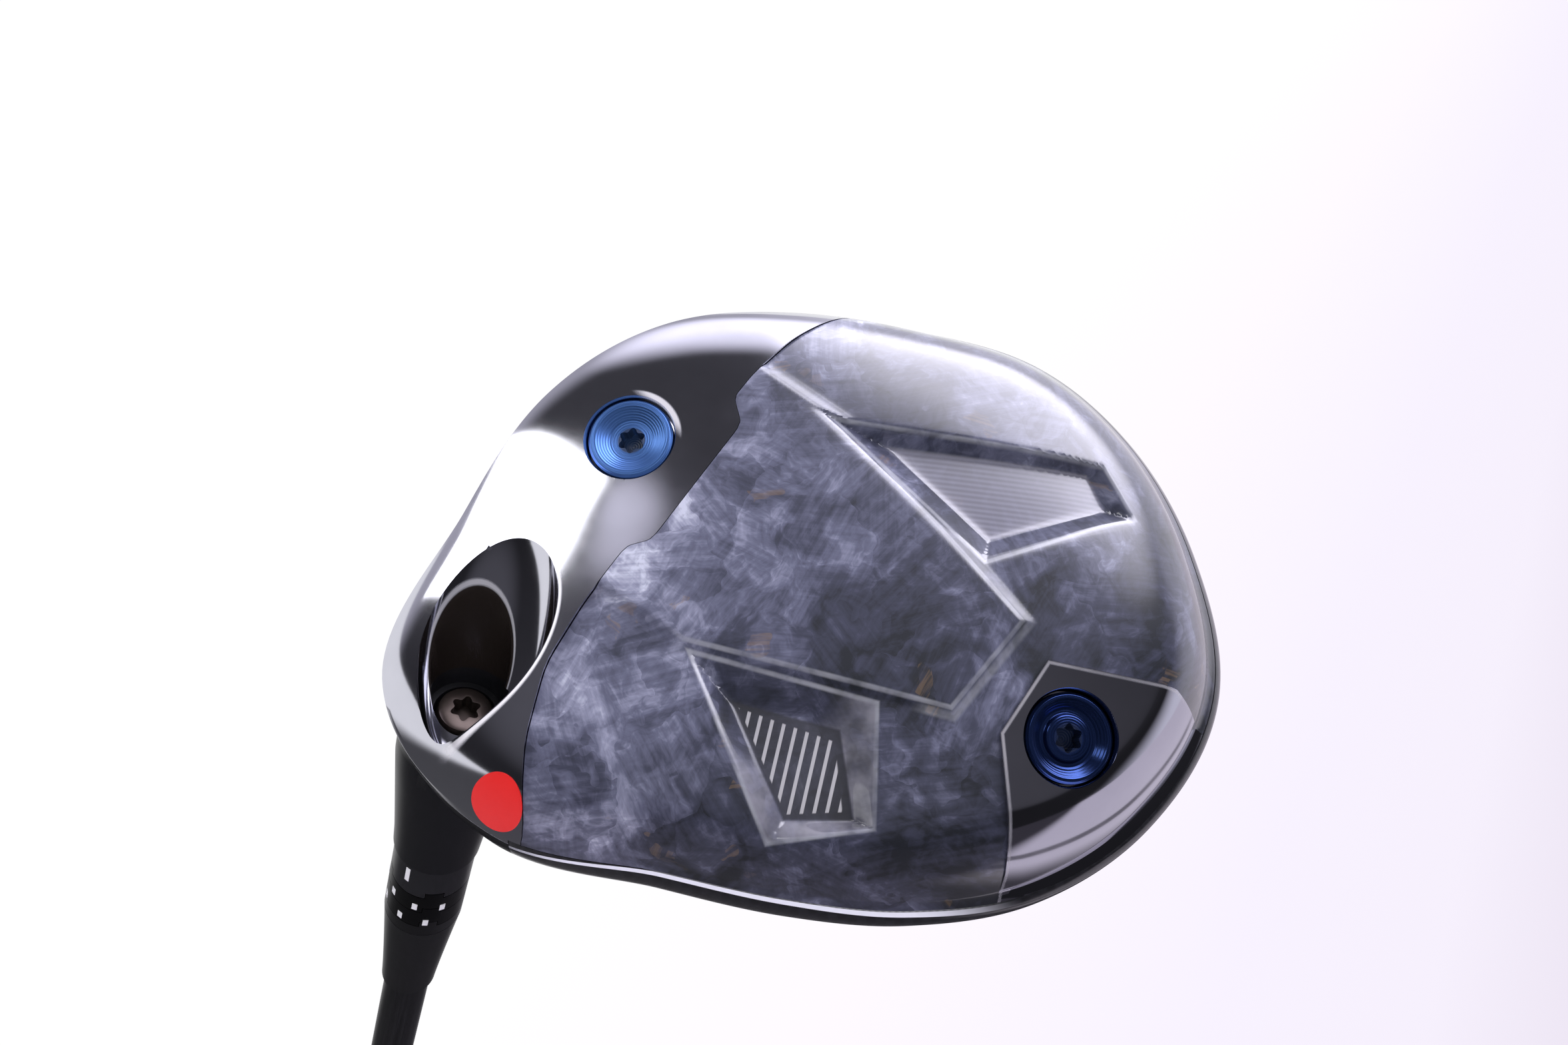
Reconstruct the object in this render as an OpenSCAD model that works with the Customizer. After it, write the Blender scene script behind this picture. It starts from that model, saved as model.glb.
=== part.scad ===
// Left-handed adjustable golf driver, standing head up on its grip's butt end.
// The origin is the centre of the butt end and the shaft runs up the Z axis.
// Head sizes are given as the club lies at address: x ahead, y towards the toe, z up from the ground.

/* [Club] */
// Length along the shaft from the butt end to the ground under the heel
club_length = 1156; // [1060:1:1220]
// Angle between the shaft and the ground
lie_angle = 58.5; // [55:0.5:62]

/* [Head outline] */
// Plan radii from the head's centre: square ahead, then every 22.5 degrees towards the toe
radii_ahead = [56.5, 53.5, 50.5, 50.5]; // [45:0.5:65]
// Plan radii from the toe on towards the rear
radii_toe = [53.5, 55, 56.5, 58.5]; // [45:0.5:65]
// Plan radii from the rear on towards the heel
radii_rear = [55, 50.5, 46.5, 45.6]; // [40:0.5:60]
// Plan radii from the heel on towards the front
radii_heel = [49.6, 64, 71.5, 60.2]; // [44:0.5:75]
// Head's centre behind the zero line through the weights' middle
centre_back = 10; // [5:0.5:15]

/* [Head heights] */
// Crown's highest point above the ground
crown_height = 59; // [54:0.5:64]
// Crown's highest point ahead of the head's centre
crown_ahead = 12; // [6:1:16]
// Face's lower edge above the ground
lead_height = 5; // [3:0.5:8]
// Face's upper edge above the ground
face_height = 52; // [46:0.5:56]
// Skirt's lower edge at the toe
skirt_toe = 15; // [10:0.5:18]
// Skirt's lower edge at the rear
skirt_rear = 20; // [14:0.5:22]
// Skirt's lower edge at the heel
skirt_heel = 14; // [10:0.5:18]
// Height of the skirt band at the rear
skirt_band = 7; // [5:0.5:10]
// Height of the skirt band at the toe and heel
side_band = 16; // [12:0.5:20]
// Seam of the crown above the skirt's lower edge
seam_rise = 1.2; // [0.9:0.1:1.4]
// Bulge of the skirt beyond its edges
skirt_bulge = 3; // [2:0.25:4]
// Loft of the face
face_loft = 10.5; // [8:0.5:14]

/* [Shells] */
// Wall of the titanium and carbon shells
shell_wall = 1.4; // [1:0.1:2]
// Thickness of the face plate
face_wall = 3; // [2.4:0.1:4]
// Bond line between the shells
bond_gap = 0.1; // [0.05:0.05:0.2]
// Wall of the rear housing above its block
housing_wall = 3; // [2:0.5:4]
// Top of the rear housing's block
housing_top = 14; // [13:0.5:15]
// How far the carbon lies below the titanium and the spine
carbon_drop = 1.1; // [0.6:0.1:1.4]

/* [Sole] */
// Metal front's rear edge beside the tongue
joint_x = 21; // [18:0.5:24]
// Rear edge of the tongue behind the front weight
tongue_x = 17.5; // [14:0.5:20]
// Half width of the tongue
tongue_half = 11; // [9:0.5:14]
// Width of the tongue's slanting sides
tongue_slant = 3; // [2:0.5:4]
// Half width of the spine at its front
spine_front_half = 20; // [16:0.5:22]
// Half width of the spine at its rear end
spine_rear_half = 7.5; // [6:0.5:11]
// Rear end of the spine
spine_rear_x = -32; // [-35:0.5:-28]
// Width of the spine's bevelled edge
spine_bevel = 2.2; // [1:0.1:3]
// Depth of the pockets under the carbon's surface
pocket_depth = 3; // [2:0.1:4]

/* [Weights] */
// Front weight ahead of the zero line
front_weight_x = 30; // [27:0.5:32]
// Rear weight behind the zero line
rear_weight_x = -47; // [-49:0.5:-45]
// Height of the rear weight's pad above the ground
rear_pad_z = 3.6; // [3:0.1:4.5]
// Forward tilt of the front weight
front_tilt = 5; // [2:0.5:8]
// Rearward tilt of the rear weight
rear_tilt = 13; // [10:0.5:16]
// Diameter of a weight's head
weight_d = 12.8; // [12:0.1:13.4]
// Thickness of a weight's head
weight_head = 3.4; // [3:0.1:4]
// Diameter of a weight's threaded shank
weight_shank_d = 8; // [6:0.5:9]
// Length of a weight's threaded shank
weight_shank = 6; // [4:0.5:7]
// Radial clearance round a weight
weight_gap = 0.25; // [0.2:0.05:0.4]
// Chamfer round a weight's port
port_chamfer = 0.7; // [0.4:0.1:1]
// Room behind a weight's shank
port_room = 0.5; // [0.4:0.1:1]
// Depth of a weight's rim below the metal round it
weight_sunk = 0.5; // [0.2:0.1:1]

/* [Hosel] */
// Shaft axis ahead of the zero line
hosel_x = 28.5; // [26:0.5:31]
// Shaft axis at the ground, from the weights' line towards the heel
hosel_y = 36; // [33:0.5:39]
// Hosel's top from the ground along the shaft
hosel_top = 64; // [60:0.5:70]
// Outside diameter of the hosel
hosel_d = 13.6; // [13:0.1:15]
// Bore for the adapter
hosel_bore_d = 11; // [10.4:0.1:11.6]
// Bore for the wrench, from the sole
wrench_bore_d = 11.2; // [10.6:0.1:11.6]
// Width of the wrench hole's mouth
mouth_w = 13.8; // [13:0.2:14.6]
// Length of the wrench hole's mouth
mouth_l = 14.8; // [14:0.2:15.6]
// Shift of the wrench hole's mouth ahead
mouth_ahead = 2.9; // [2.3:0.1:3.5]
// Shift of the wrench hole's mouth towards the toe
mouth_shift = 1.9; // [1.3:0.1:2.5]
// Depth of the wrench hole's mouth from the ground along the shaft
mouth_end = 16; // [14:0.5:17]
// Bottom of the hosel tube from the ground along the shaft
tube_bottom = 19; // [18:0.5:20]
// Wall of the boss round the wrench hole
boss_wall = 2.6; // [2.2:0.1:3]
// Length of the tube's end held in the boss
socket_l = 4; // [3:0.5:5]
// Seat of the screw's washer from the ground along the shaft
screw_seat = 23; // [21:0.5:25]
// Thickness of the wall that carries the screw
seat_wall = 2.5; // [2:0.1:4]
// Running clearance between the adapter and the hosel
adapter_gap = 0.05; // [0.02:0.01:0.1]
// Height of one adjusting cog
cog_h = 5; // [4:0.5:7]
// Height of the cogs' teeth
tooth_h = 1.6; // [1:0.1:2]
// Width of the cogs' teeth
tooth_w = 3; // [2:0.1:4]
// Side clearance of the cogs' teeth
tooth_gap = 0.1; // [0.05:0.05:0.2]
// Height of the adapter's collar above the cogs
collar_h = 3; // [2:0.5:4]
// Length of the ferrule
ferrule_l = 28; // [24:1:32]
// Diameter of the ferrule's narrow end
ferrule_end_d = 10; // [9.6:0.1:10.8]

/* [Heel scoop] */
// Middle of the scoop ahead of the zero line
scoop_x = 29; // [28:0.5:30]
// Middle of the scoop from the weights' line towards the heel
scoop_y = 35.4; // [34.4:0.2:36.4]
// Middle of the scoop above the ground
scoop_z = 3.2; // [2.7:0.1:3.7]
// Width of the scoop
scoop_w = 19; // [18:0.5:20]
// Length of the scoop
scoop_l = 40.6; // [39:0.2:42]
// Depth of the scoop
scoop_depth = 5.6; // [5:0.1:6]
// Rise of the scoop towards the heel
scoop_tilt = 21.5; // [20:0.5:23]
// Turn of the scoop in plan, towards the face at its toe's end
scoop_turn = 21; // [17:1:25]
// Top of the flare round the hosel, along the shaft
fairing_top = 55; // [52:0.5:58]

/* [Hosel screw] */
// Diameter of the screw's head
screw_head_d = 8.4; // [8:0.1:8.8]
// Height of the screw's head
screw_head = 4; // [3:0.1:5]
// Diameter of the screw's shank
screw_d = 5; // [4:0.1:5.2]
// Length of the screw's shank under its head
screw_l = 18; // [16:0.5:22]
// Radial room round the screw's head
head_gap = 0.5; // [0.4:0.1:0.7]
// Radial room round the screw's shank in its seat
shank_gap = 0.35; // [0.3:0.05:0.5]
// Thickness of the washer
washer_t = 1; // [0.8:0.1:1.5]
// Width of the ring that keeps the screw in
retainer_w = 1.6; // [1.2:0.1:2]
// Room between that ring and its neighbours
retainer_gap = 0.3; // [0.3:0.05:0.4]
// Thickness of the ring that keeps the screw in
retainer_t = 1.2; // [1:0.1:1.5]

/* [Shaft] */
// Diameter of the shaft's tip
tip_d = 8.5; // [8.2:0.1:9]
// Length of the parallel tip
tip_parallel = 110; // [90:5:140]
// Diameter of the shaft under the grip
butt_d = 15.2; // [14.6:0.1:15.8]
// Length of the parallel butt
butt_parallel = 180; // [120:10:240]
// Wall of the shaft
shaft_wall = 1.3; // [1:0.1:1.6]
// Glue line and slip clearance along the shaft
glue_gap = 0.05; // [0.02:0.01:0.1]

/* [Grip] */
// Length of the grip with its cap
grip_length = 268; // [250:1:280]
// Diameter of the grip at the cap
grip_butt_d = 26; // [24:0.5:28]
// Diameter of the grip at its mouth
grip_mouth_d = 17.6; // [17:0.1:20]
// Rounding of the grip's mouth
grip_round = 0.6; // [0.4:0.1:0.8]
// Diameter of the cap's rim
cap_d = 30; // [28:0.5:33]
// Thickness of the cap
cap_t = 5; // [4:0.5:7]
// Rounding of the cap's rim
cap_round = 1.5; // [1:0.1:1.8]
// Diameter of the vent hole
vent_d = 3.6; // [3:0.1:4.5]
// Thickness of the tape under the grip
tape_t = 0.3; // [0.2:0.05:0.4]

/* [Hidden] */
$fn = 64;
far = 200;
sectors = 72;
inner_sectors = 48;
// Turns of the rings, so that no edge falls on the plane through the weights or on another ring's edge
ring_turn = 1.3;
seam_turn = 3.1;
outline_radii = concat(radii_ahead, radii_toe, radii_rear, radii_heel);
// Shares of the way from the sole's centre to its edge, finer at the edge
sole_rows = [0.25, 0.45, 0.6, 0.72, 0.81, 0.88, 0.935, 0.975];
band_rows = [0, 0.25, 0.5, 0.75, 1];
crown_rows = [0.96, 0.88, 0.76, 0.6, 0.42, 0.22];
crown_power = 2.7;
// Middles and radii of the rounds that bound the face, seen from ahead
face_lobes = [[-28, 22, 9], [-18, 34, 11], [8, 35, 13], [22, 27, 11], [12, 19.5, 10.5], [-14, 19, 10]];
// Share by which slanting forms run on past the surface they cut
run_on = 0.8;
// Bevel of a weight's rim
rim = 0.4;
loft_back = (face_height - lead_height) * tan(face_loft);
front_pad_z = sole_z(0, (front_weight_x + centre_back) / outline(0));
port_r = weight_d / 2 + weight_gap;
port_depth = weight_sunk + weight_head + weight_shank + port_room;
hosel_r = hosel_d / 2;
// Length of the wrench hole's mouth below the ground's level, outside the dish
mouth_run = 4;
// Radii and places along the shaft of the hosel's flare
flare = [[5, 13], [7.4, 16], [8.7, 20], [9.2, 25], [9.2, 29], [8.8, 34], [8.3, 40], [7.8, 46],
  [hosel_r + 0.6, 51], [hosel_r + 0.4, fairing_top]];
cogs_bottom = hosel_top + adapter_gap;
collar_bottom = cogs_bottom + 2 * cog_h;
ferrule_bottom = collar_bottom + collar_h;
ferrule_end = ferrule_bottom + ferrule_l;
retainer_bottom = screw_seat + seat_wall + retainer_gap;
adapter_bottom = retainer_bottom + retainer_t + retainer_gap;
adapter_r = hosel_bore_d / 2 - adapter_gap;
screw_bottom = screw_seat - washer_t;
tip_bottom = screw_bottom + screw_l + 3;
tip_bore_r = tip_d / 2 - shaft_wall;

// Blends four values given ahead, at the toe, behind and at the heel
function blend(a, ahead, toe, rear, heel) =
  let (c = cos(a), s = sin(a)) (c > 0 ? ahead : rear) * c * c + (s > 0 ? toe : heel) * s * s;
// Smooth plan radius: a spline through the reciprocals of the given radii, so straight edges stay straight
function outline(a) =
  let (n = len(outline_radii), u = a * n / 360, i = floor(u), f = u - i,
       p = [for (k = [-1:2]) 1 / outline_radii[(i + k + n) % n]])
  1 / (p[1] + f / 2 * (p[2] - p[0] + f * (2 * p[0] - 5 * p[1] + 4 * p[2] - p[3]
    + f * (3 * (p[1] - p[2]) + p[3] - p[0]))));
function low_z(a) = blend(a, lead_height, skirt_toe, skirt_rear, skirt_heel);
function high_z(a) = blend(a, face_height, skirt_toe + side_band, skirt_rear + skirt_band,
  skirt_heel + side_band);
function low_r(a) = outline(a) - blend(a, 0.5, skirt_bulge, skirt_bulge, skirt_bulge);
function high_r(a) = outline(a) - blend(a, loft_back, skirt_bulge, skirt_bulge, skirt_bulge);
function sole_z(a, q) = low_z(a) * (0.25 * pow(q, 2) + 0.75 * pow(q, 9));
function at(a, r, z) = [r * cos(a) - centre_back, r * sin(a), z];

// Angles of a ring's points
function turns(n, start = ring_turn) = [for (k = [0:n - 1]) k * 360 / n + start];
function bulge(a) = blend(a, 1, skirt_bulge, skirt_bulge, skirt_bulge);
function crown_z(a, q) = crown_height - (crown_height - high_z(a)) * pow(q, crown_power);
// Rings of the head's outside, inset by a wall, with its sole dropped towards the middle
function head_rings(n, inset, drop) = [
  for (q = sole_rows) [for (a = turns(n))
    at(a, q * (low_r(a) - inset), sole_z(a, q) + inset + drop * (1 - pow(q, 4)))],
  for (u = band_rows) [for (a = turns(n))
    at(a, low_r(a) * (1 - u) + high_r(a) * u + bulge(a) * 4 * u * (1 - u) - inset,
       low_z(a) * (1 - u) + high_z(a) * u + inset * (1 - 2 * u))],
  for (q = crown_rows) [for (a = turns(n))
    at(a, q * (high_r(a) - inset), crown_z(a, q) - inset) + [(1 - q) * crown_ahead, 0, 0]]];

// Closed skin over rings, with a point at each end
module lofted(rings, low, high) {
  n = len(rings[0]);
  m = len(rings);
  points = concat([low], [for (r = rings) each r], [high]);
  faces = concat(
    [for (k = [0:n - 1]) [0, 1 + k, 1 + (k + 1) % n]],
    [for (j = [0:m - 2], k = [0:n - 1]) let (p = 1 + j * n + k, q = 1 + j * n + (k + 1) % n)
      each [[p, p + n, q], [q, p + n, q + n]]],
    [for (k = [0:n - 1]) [1 + m * n, 1 + (m - 1) * n + (k + 1) % n, 1 + (m - 1) * n + k]]);
  polyhedron(points, faces);
}
module head_solid(inset = 0, drop = 0, n = sectors) {
  lofted(head_rings(n, inset, drop), at(0, 0, inset + drop), at(0, crown_ahead, crown_height - inset));
}
module head_shell(wall, drop = 0) {
  difference() {
    head_solid(0, drop);
    head_solid(wall, drop, inner_sectors);
  }
}
// Everything above the seam between the sole and the crown
module upper_zone(raise = 0) {
  rings = [for (g = [[0.8, 0], [1.6, 0], [1.6, far]]) [for (a = turns(sectors, seam_turn))
    at(a, g[0] * low_r(a), low_z(a) + seam_rise + raise + g[1])]];
  lofted(rings, [-centre_back, 0, skirt_toe], [-centre_back, 0, far]);
}
module upright(z0 = -far, z1 = far) {
  translate([0, 0, z0]) linear_extrude(z1 - z0) children();
}
// Line of the joint on the sole, from the toe to the heel
sole_joint = [[15, far], [16, 44], [20, 28], [joint_x, 19], [joint_x, tongue_half + tongue_slant],
  [tongue_x, tongue_half], [tongue_x, -tongue_half], [joint_x - 1, -tongue_half - tongue_slant],
  [20, -24], [19, -34], [15, -44], [9, -54], [4, -far]];
// Line of the joint on the crown, from the toe to the heel
crown_joint = [[2, far], [6, 48], [20, 36], [30, 20], [33, 1.5], [30, -24], [20, -40], [11, -52], [6, -far]];
// Everything ahead of a joint's line, or behind it, in plan
module ahead_of(line) {
  polygon(concat([[far, far]], line, [[far, -far]]));
}
module behind(line) {
  polygon(concat([[-far, far]], line, [[-far, -far]]));
}
// Outline of the face, seen from ahead
module face_zone(grow = 0) {
  rotate([90, 0, 90]) linear_extrude(far) offset(delta = grow) hull() {
    for (c = face_lobes) translate([c[0], c[1]]) circle(c[2], $fn = 32);
  }
}
// Places the head on top of the upright shaft
module in_head() {
  translate([0, 0, club_length]) rotate([90 + lie_angle, 0, 180])
    translate([-hosel_x, hosel_y, 0]) children();
}
// Places what is measured along the shaft from the ground
module on_neck() {
  translate([0, 0, club_length]) rotate([180, 0, 0]) children();
}
module neck_in_head() {
  translate([hosel_x, -hosel_y, 0]) rotate([90 - lie_angle, 0, 0]) children();
}
module at_front_port() {
  translate([front_weight_x, 0, front_pad_z]) rotate([0, -front_tilt, 0]) children();
}
module at_rear_port() {
  translate([rear_weight_x, 0, rear_pad_z]) rotate([0, rear_tilt, 0]) children();
}
module tube(r_out, r_in, z0, z1) {
  translate([0, 0, z0]) difference() {
    cylinder(r = r_out, h = z1 - z0);
    translate([0, 0, -1]) cylinder(r = r_in, h = z1 - z0 + 2);
  }
}
// Oval dish round the wrench hole in the heel's sole
module scoop(grow = 0) {
  translate([scoop_x, -scoop_y, scoop_z]) rotate([-scoop_tilt, 0, -scoop_turn])
    scale([scoop_w / 2 + grow, scoop_l / 2 + grow, scoop_depth + grow]) sphere(1, $fn = 40);
}
// Flare that carries the hosel up out of the heel
module fairing() {
  neck_in_head() rotate_extrude($fn = 48) polygon(concat([[0, flare[0][1]]], flare, [[0, fairing_top]]));
}
// Oval mouth of the wrench hole, drawn in to the bore behind it, grown by a wall for the boss round it
module wrench_mouth(end, grow = 0) {
  neck_in_head() hull() {
    translate([mouth_ahead, mouth_shift, -mouth_run]) rotate(-scoop_turn - 7)
      scale([mouth_w / 2 + grow, mouth_l / 2 + grow, 1]) cylinder(r = 1, h = mouth_run, $fn = 48);
    cylinder(r = wrench_bore_d / 2 + (grow > 0 ? grow : -0.6), h = end, $fn = 48);
  }
}
module weight_port() {
  translate([0, 0, -far]) cylinder(r = port_r, h = far + weight_sunk + weight_head);
  translate([0, 0, -port_chamfer])
    cylinder(r1 = port_r + 2 * port_chamfer, r2 = port_r, h = 2 * port_chamfer);
  translate([0, 0, weight_sunk])
    cylinder(r = weight_shank_d / 2 + weight_gap, h = weight_head + weight_shank + port_room);
}

// Hollow of the titanium front, which leaves the dish, the weight's boss and the hosel's socket standing
module front_hollow() {
  difference() {
    head_solid(shell_wall, 0, inner_sectors);
    scoop(shell_wall);
    at_front_port() cylinder(r = weight_d / 2 + boss_wall, h = port_depth + boss_wall, $fn = 48);
    wrench_mouth(tube_bottom + socket_l, boss_wall);
  }
}
module front_body() color("dimgray") in_head() difference() {
  resize([0, 0, 0]) difference() {
    union() {
      head_solid();
      fairing();
    }
    difference() {
      upright() behind(sole_joint);
      upper_zone(bond_gap / 2);
    }
    intersection() {
      upright() behind(crown_joint);
      upper_zone(-bond_gap / 2);
    }
    front_hollow();
    face_zone(bond_gap);
    scoop();
    wrench_mouth(mouth_end);
  }
  at_front_port() weight_port();
  neck_in_head() cylinder(r = wrench_bore_d / 2, h = far);
  neck_in_head() translate([0, 0, tube_bottom]) cylinder(r = hosel_r + glue_gap, h = far);
}
module face_plate() color("silver") in_head() resize([0, 0, 0]) intersection() {
  head_shell(face_wall);
  face_zone();
}
module hosel_tube() color("gray") on_neck() difference() {
  translate([0, 0, tube_bottom]) cylinder(r = hosel_r, h = hosel_top - tube_bottom);
  translate([0, 0, screw_seat + seat_wall]) cylinder(r = hosel_bore_d / 2, h = far);
  translate([0, 0, tube_bottom - 1])
    cylinder(r = screw_head_d / 2 + head_gap, h = screw_seat - tube_bottom + 1);
  translate([0, 0, screw_seat - 1]) cylinder(r = screw_d / 2 + shank_gap, h = seat_wall + 2);
  tooth_notches(hosel_top - tooth_h);
}
// Height of the sole and of the lower carbon at a place in plan
function sole_at(p) = let (x = p[0] + centre_back, a = (atan2(p[1], x) + 360) % 360)
  sole_z(a, norm([x, p[1]]) / low_r(a));
function carbon_at(p) = sole_at(p) + carbon_drop;
function middle(pts) = [for (i = [0:2]) [for (p = pts) p[i]] * [for (p = pts) 1 / len(pts)]];
// A point moved away from the middle of its outline, and a whole outline grown so
function grown_from(pts, p, d) =
  let (c = [for (i = [0:1]) [for (q = pts) q[i]] * [for (q = pts) 1 / len(pts)]])
  c + (p - c) * (1 + d / norm(p - c));
function grown(pts, d) = [for (p = pts) grown_from(pts, p, d)];
// Plan corners of a pocket's rim and floor, on the heel's side or the toe's
heel_rim = [[-31.5, -26], [-20.5, -36], [3.5, -21], [-22.3, -11.8]];
heel_floor = [[-28.5, -26.5], [-20.5, -32], [-5, -23], [-20, -17.5]];
toe_rim = [[-38, 33.5], [-23.5, 14], [7, 20], [-30, 38]];
toe_floor = [[-33, 31.5], [-22, 18.5], [-3, 22], [-29, 34]];
// Spine in plan
spine_plan = [[joint_x + 9, spine_front_half], [5, spine_front_half], [spine_rear_x, spine_rear_half],
  [spine_rear_x, -spine_rear_half], [5, -spine_front_half], [joint_x + 9, -spine_front_half]];

// Tapered form of a pocket, run on below the sole, and grown by a wall for the tray round it
module pocket(rim, floor, wall = 0) {
  r = grown(rim, wall);
  f = grown(floor, wall);
  rings = [[for (i = [0:3]) let (p = r[i] + (r[i] - f[i]) * run_on)
      [p[0], p[1], carbon_at(r[i]) - run_on * pocket_depth]],
    [for (p = f) [p[0], p[1], carbon_at(p) + pocket_depth + wall]]];
  lofted(rings, middle(rings[0]), middle(rings[1]));
}
module pockets(wall = 0) {
  pocket(heel_rim, heel_floor, wall);
  pocket(toe_rim, toe_floor, wall);
}
// Raised spine with bevelled edges, which run on below the sole and into the carbon
module spine_form() {
  rings = [for (t = [-run_on, 1 + run_on]) [for (p = spine_plan)
    let (g = grown_from(spine_plan, p, t * spine_bevel)) [g[0], g[1], sole_at(p) + t * carbon_drop]]];
  lofted(rings, middle(rings[0]), middle(rings[1]));
}
// Plan of the rear weight's housing
module housing_plan() {
  polygon([[-38.5, 7], [-56, 15.5], [-far, 25], [-far, -70], [-58, -34], [-50, -19.5], [-38.5, -5.5]]);
}
// Hollow over the carbon, which leaves the trays of the pockets and the spine's rib standing
module sole_hollow() {
  difference() {
    head_solid(shell_wall, carbon_drop, inner_sectors);
    pockets(shell_wall);
  }
}
module carbon_sole() color("slategray") in_head() resize([0, 0, 0]) difference() {
  union() {
    head_solid(0, carbon_drop);
    intersection() {
      head_solid();
      spine_form();
    }
  }
  sole_hollow();
  pockets();
  upper_zone(-bond_gap);
  upright() offset(delta = bond_gap) ahead_of(sole_joint);
  upright() offset(delta = bond_gap) housing_plan();
}
module carbon_crown() color("black") in_head() resize([0, 0, 0]) difference() {
  intersection() {
    head_shell(shell_wall);
    upper_zone(bond_gap);
  }
  upright() offset(delta = bond_gap) ahead_of(crown_joint);
}
module rear_weight_housing() color("dimgray") in_head() difference() {
  resize([0, 0, 0]) difference() {
    intersection() {
      head_solid(0, -2.5);
      upright() housing_plan();
    }
    intersection() {
      head_solid(housing_wall);
      upright(housing_top, far) square(2 * far, center = true);
    }
    upper_zone(-bond_gap);
    at_rear_port() translate([-far, -far, -2 * far]) cube(2 * far);
  }
  at_rear_port() weight_port();
}
// Six-lobed wrench socket
module socket(r, depth) {
  translate([0, 0, -1]) {
    cylinder(r = r * 0.8, h = depth + 1);
    for (k = [0:5]) rotate(k * 60) translate([r * 0.72, 0, 0]) cylinder(r = r * 0.28, h = depth + 1);
  }
}
// Weight screw: its rim at the profile's first point, then the dish towards the socket
module weight_screw(dish) {
  translate([0, 0, weight_sunk]) difference() {
    union() {
      rotate_extrude() polygon(concat(dish,
        [[0, weight_head], [weight_d / 2, weight_head], [weight_d / 2, rim]]));
      translate([0, 0, weight_head]) cylinder(d = weight_shank_d, h = weight_shank);
    }
    socket(2, weight_head);
  }
}
module front_weight() color("royalblue") in_head() at_front_port()
  weight_screw([[weight_d / 2 - rim, 0], [weight_d / 2 - 2.5 * rim, 0], [3.2, 1.1], [0, 1.1]]);
module rear_weight() color("midnightblue") in_head() at_rear_port()
  weight_screw([[weight_d / 2 - rim, 0], [weight_d / 2 - 2 * rim, 0], [4.2, 1.4], [3.4, 1.4], [3.2, 0.6],
    [0, 0.6]]);

module hosel_screw() color("silver") on_neck() difference() {
  union() {
    translate([0, 0, screw_bottom - screw_head]) cylinder(d = screw_head_d, h = screw_head);
    translate([0, 0, screw_bottom]) cylinder(d = screw_d, h = screw_l);
  }
  translate([0, 0, screw_bottom - screw_head]) socket(2.2, 2.6);
}
module screw_washer() color("gainsboro") on_neck()
  tube(screw_head_d / 2, screw_d / 2 + 0.2, screw_bottom, screw_seat);
module screw_retainer() color("ivory") on_neck()
  tube(screw_d / 2 + retainer_w, screw_d / 2 + glue_gap, retainer_bottom, retainer_bottom + retainer_t);

// Four teeth of a ring, or the notches that take them
module ring_teeth(z, height, wide) {
  for (k = [0:3]) rotate(k * 90 + 45) translate([adapter_r - 2, -wide / 2, z]) cube([hosel_r, wide, height]);
}
module tooth_notches(z) {
  ring_teeth(z - tooth_gap, far, tooth_w + 2 * tooth_gap);
}
// Ring with teeth below, between two radii
module toothed(r_in, z0, z1) {
  difference() {
    tube(hosel_r, r_in, z0 - tooth_h, z1);
    difference() {
      translate([0, 0, z0 - 2 * tooth_h]) cylinder(r = 2 * hosel_r, h = 2 * tooth_h);
      ring_teeth(z0 - 3 * tooth_h, 4 * tooth_h, tooth_w);
    }
  }
}
module cog(z0) {
  difference() {
    toothed(adapter_r + glue_gap, z0, z0 + cog_h);
    tooth_notches(z0 + cog_h - tooth_h);
  }
}
module loft_cog() color("black") on_neck() cog(cogs_bottom);
module lie_cog() color("black") on_neck() cog(cogs_bottom + cog_h);
module tip_adapter() color("darkgray") on_neck() difference() {
  union() {
    translate([0, 0, adapter_bottom]) cylinder(r = adapter_r, h = collar_bottom - adapter_bottom + 1);
    toothed(adapter_r - tooth_h, collar_bottom, ferrule_bottom);
  }
  translate([0, 0, tip_bottom]) cylinder(r = tip_d / 2 + glue_gap, h = far);
  translate([0, 0, adapter_bottom - 1])
    cylinder(r = screw_d / 2 + glue_gap, h = tip_bottom - adapter_bottom + 2);
}
module ferrule() color("black") on_neck() rotate_extrude() polygon([
  [tip_d / 2 + glue_gap, ferrule_bottom], [hosel_r, ferrule_bottom],
  [hosel_r - 0.2, ferrule_bottom + 0.15 * ferrule_l],
  [ferrule_end_d / 2 + 0.3, ferrule_bottom + 0.8 * ferrule_l],
  [ferrule_end_d / 2, ferrule_end], [tip_d / 2 + glue_gap, ferrule_end]]);

// Shaft's radius at a height above the butt end
function shaft_r(z) = let (start = butt_parallel, end = club_length - tip_bottom - tip_parallel)
  z < start ? butt_d / 2 : z > end ? tip_d / 2
    : butt_d / 2 - (butt_d - tip_d) / 2 * (z - start) / (end - start);
shaft_breaks = [cap_t, butt_parallel, club_length - tip_bottom - tip_parallel, club_length - tip_bottom];
grip_breaks = [cap_t, butt_parallel, grip_length];
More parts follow.
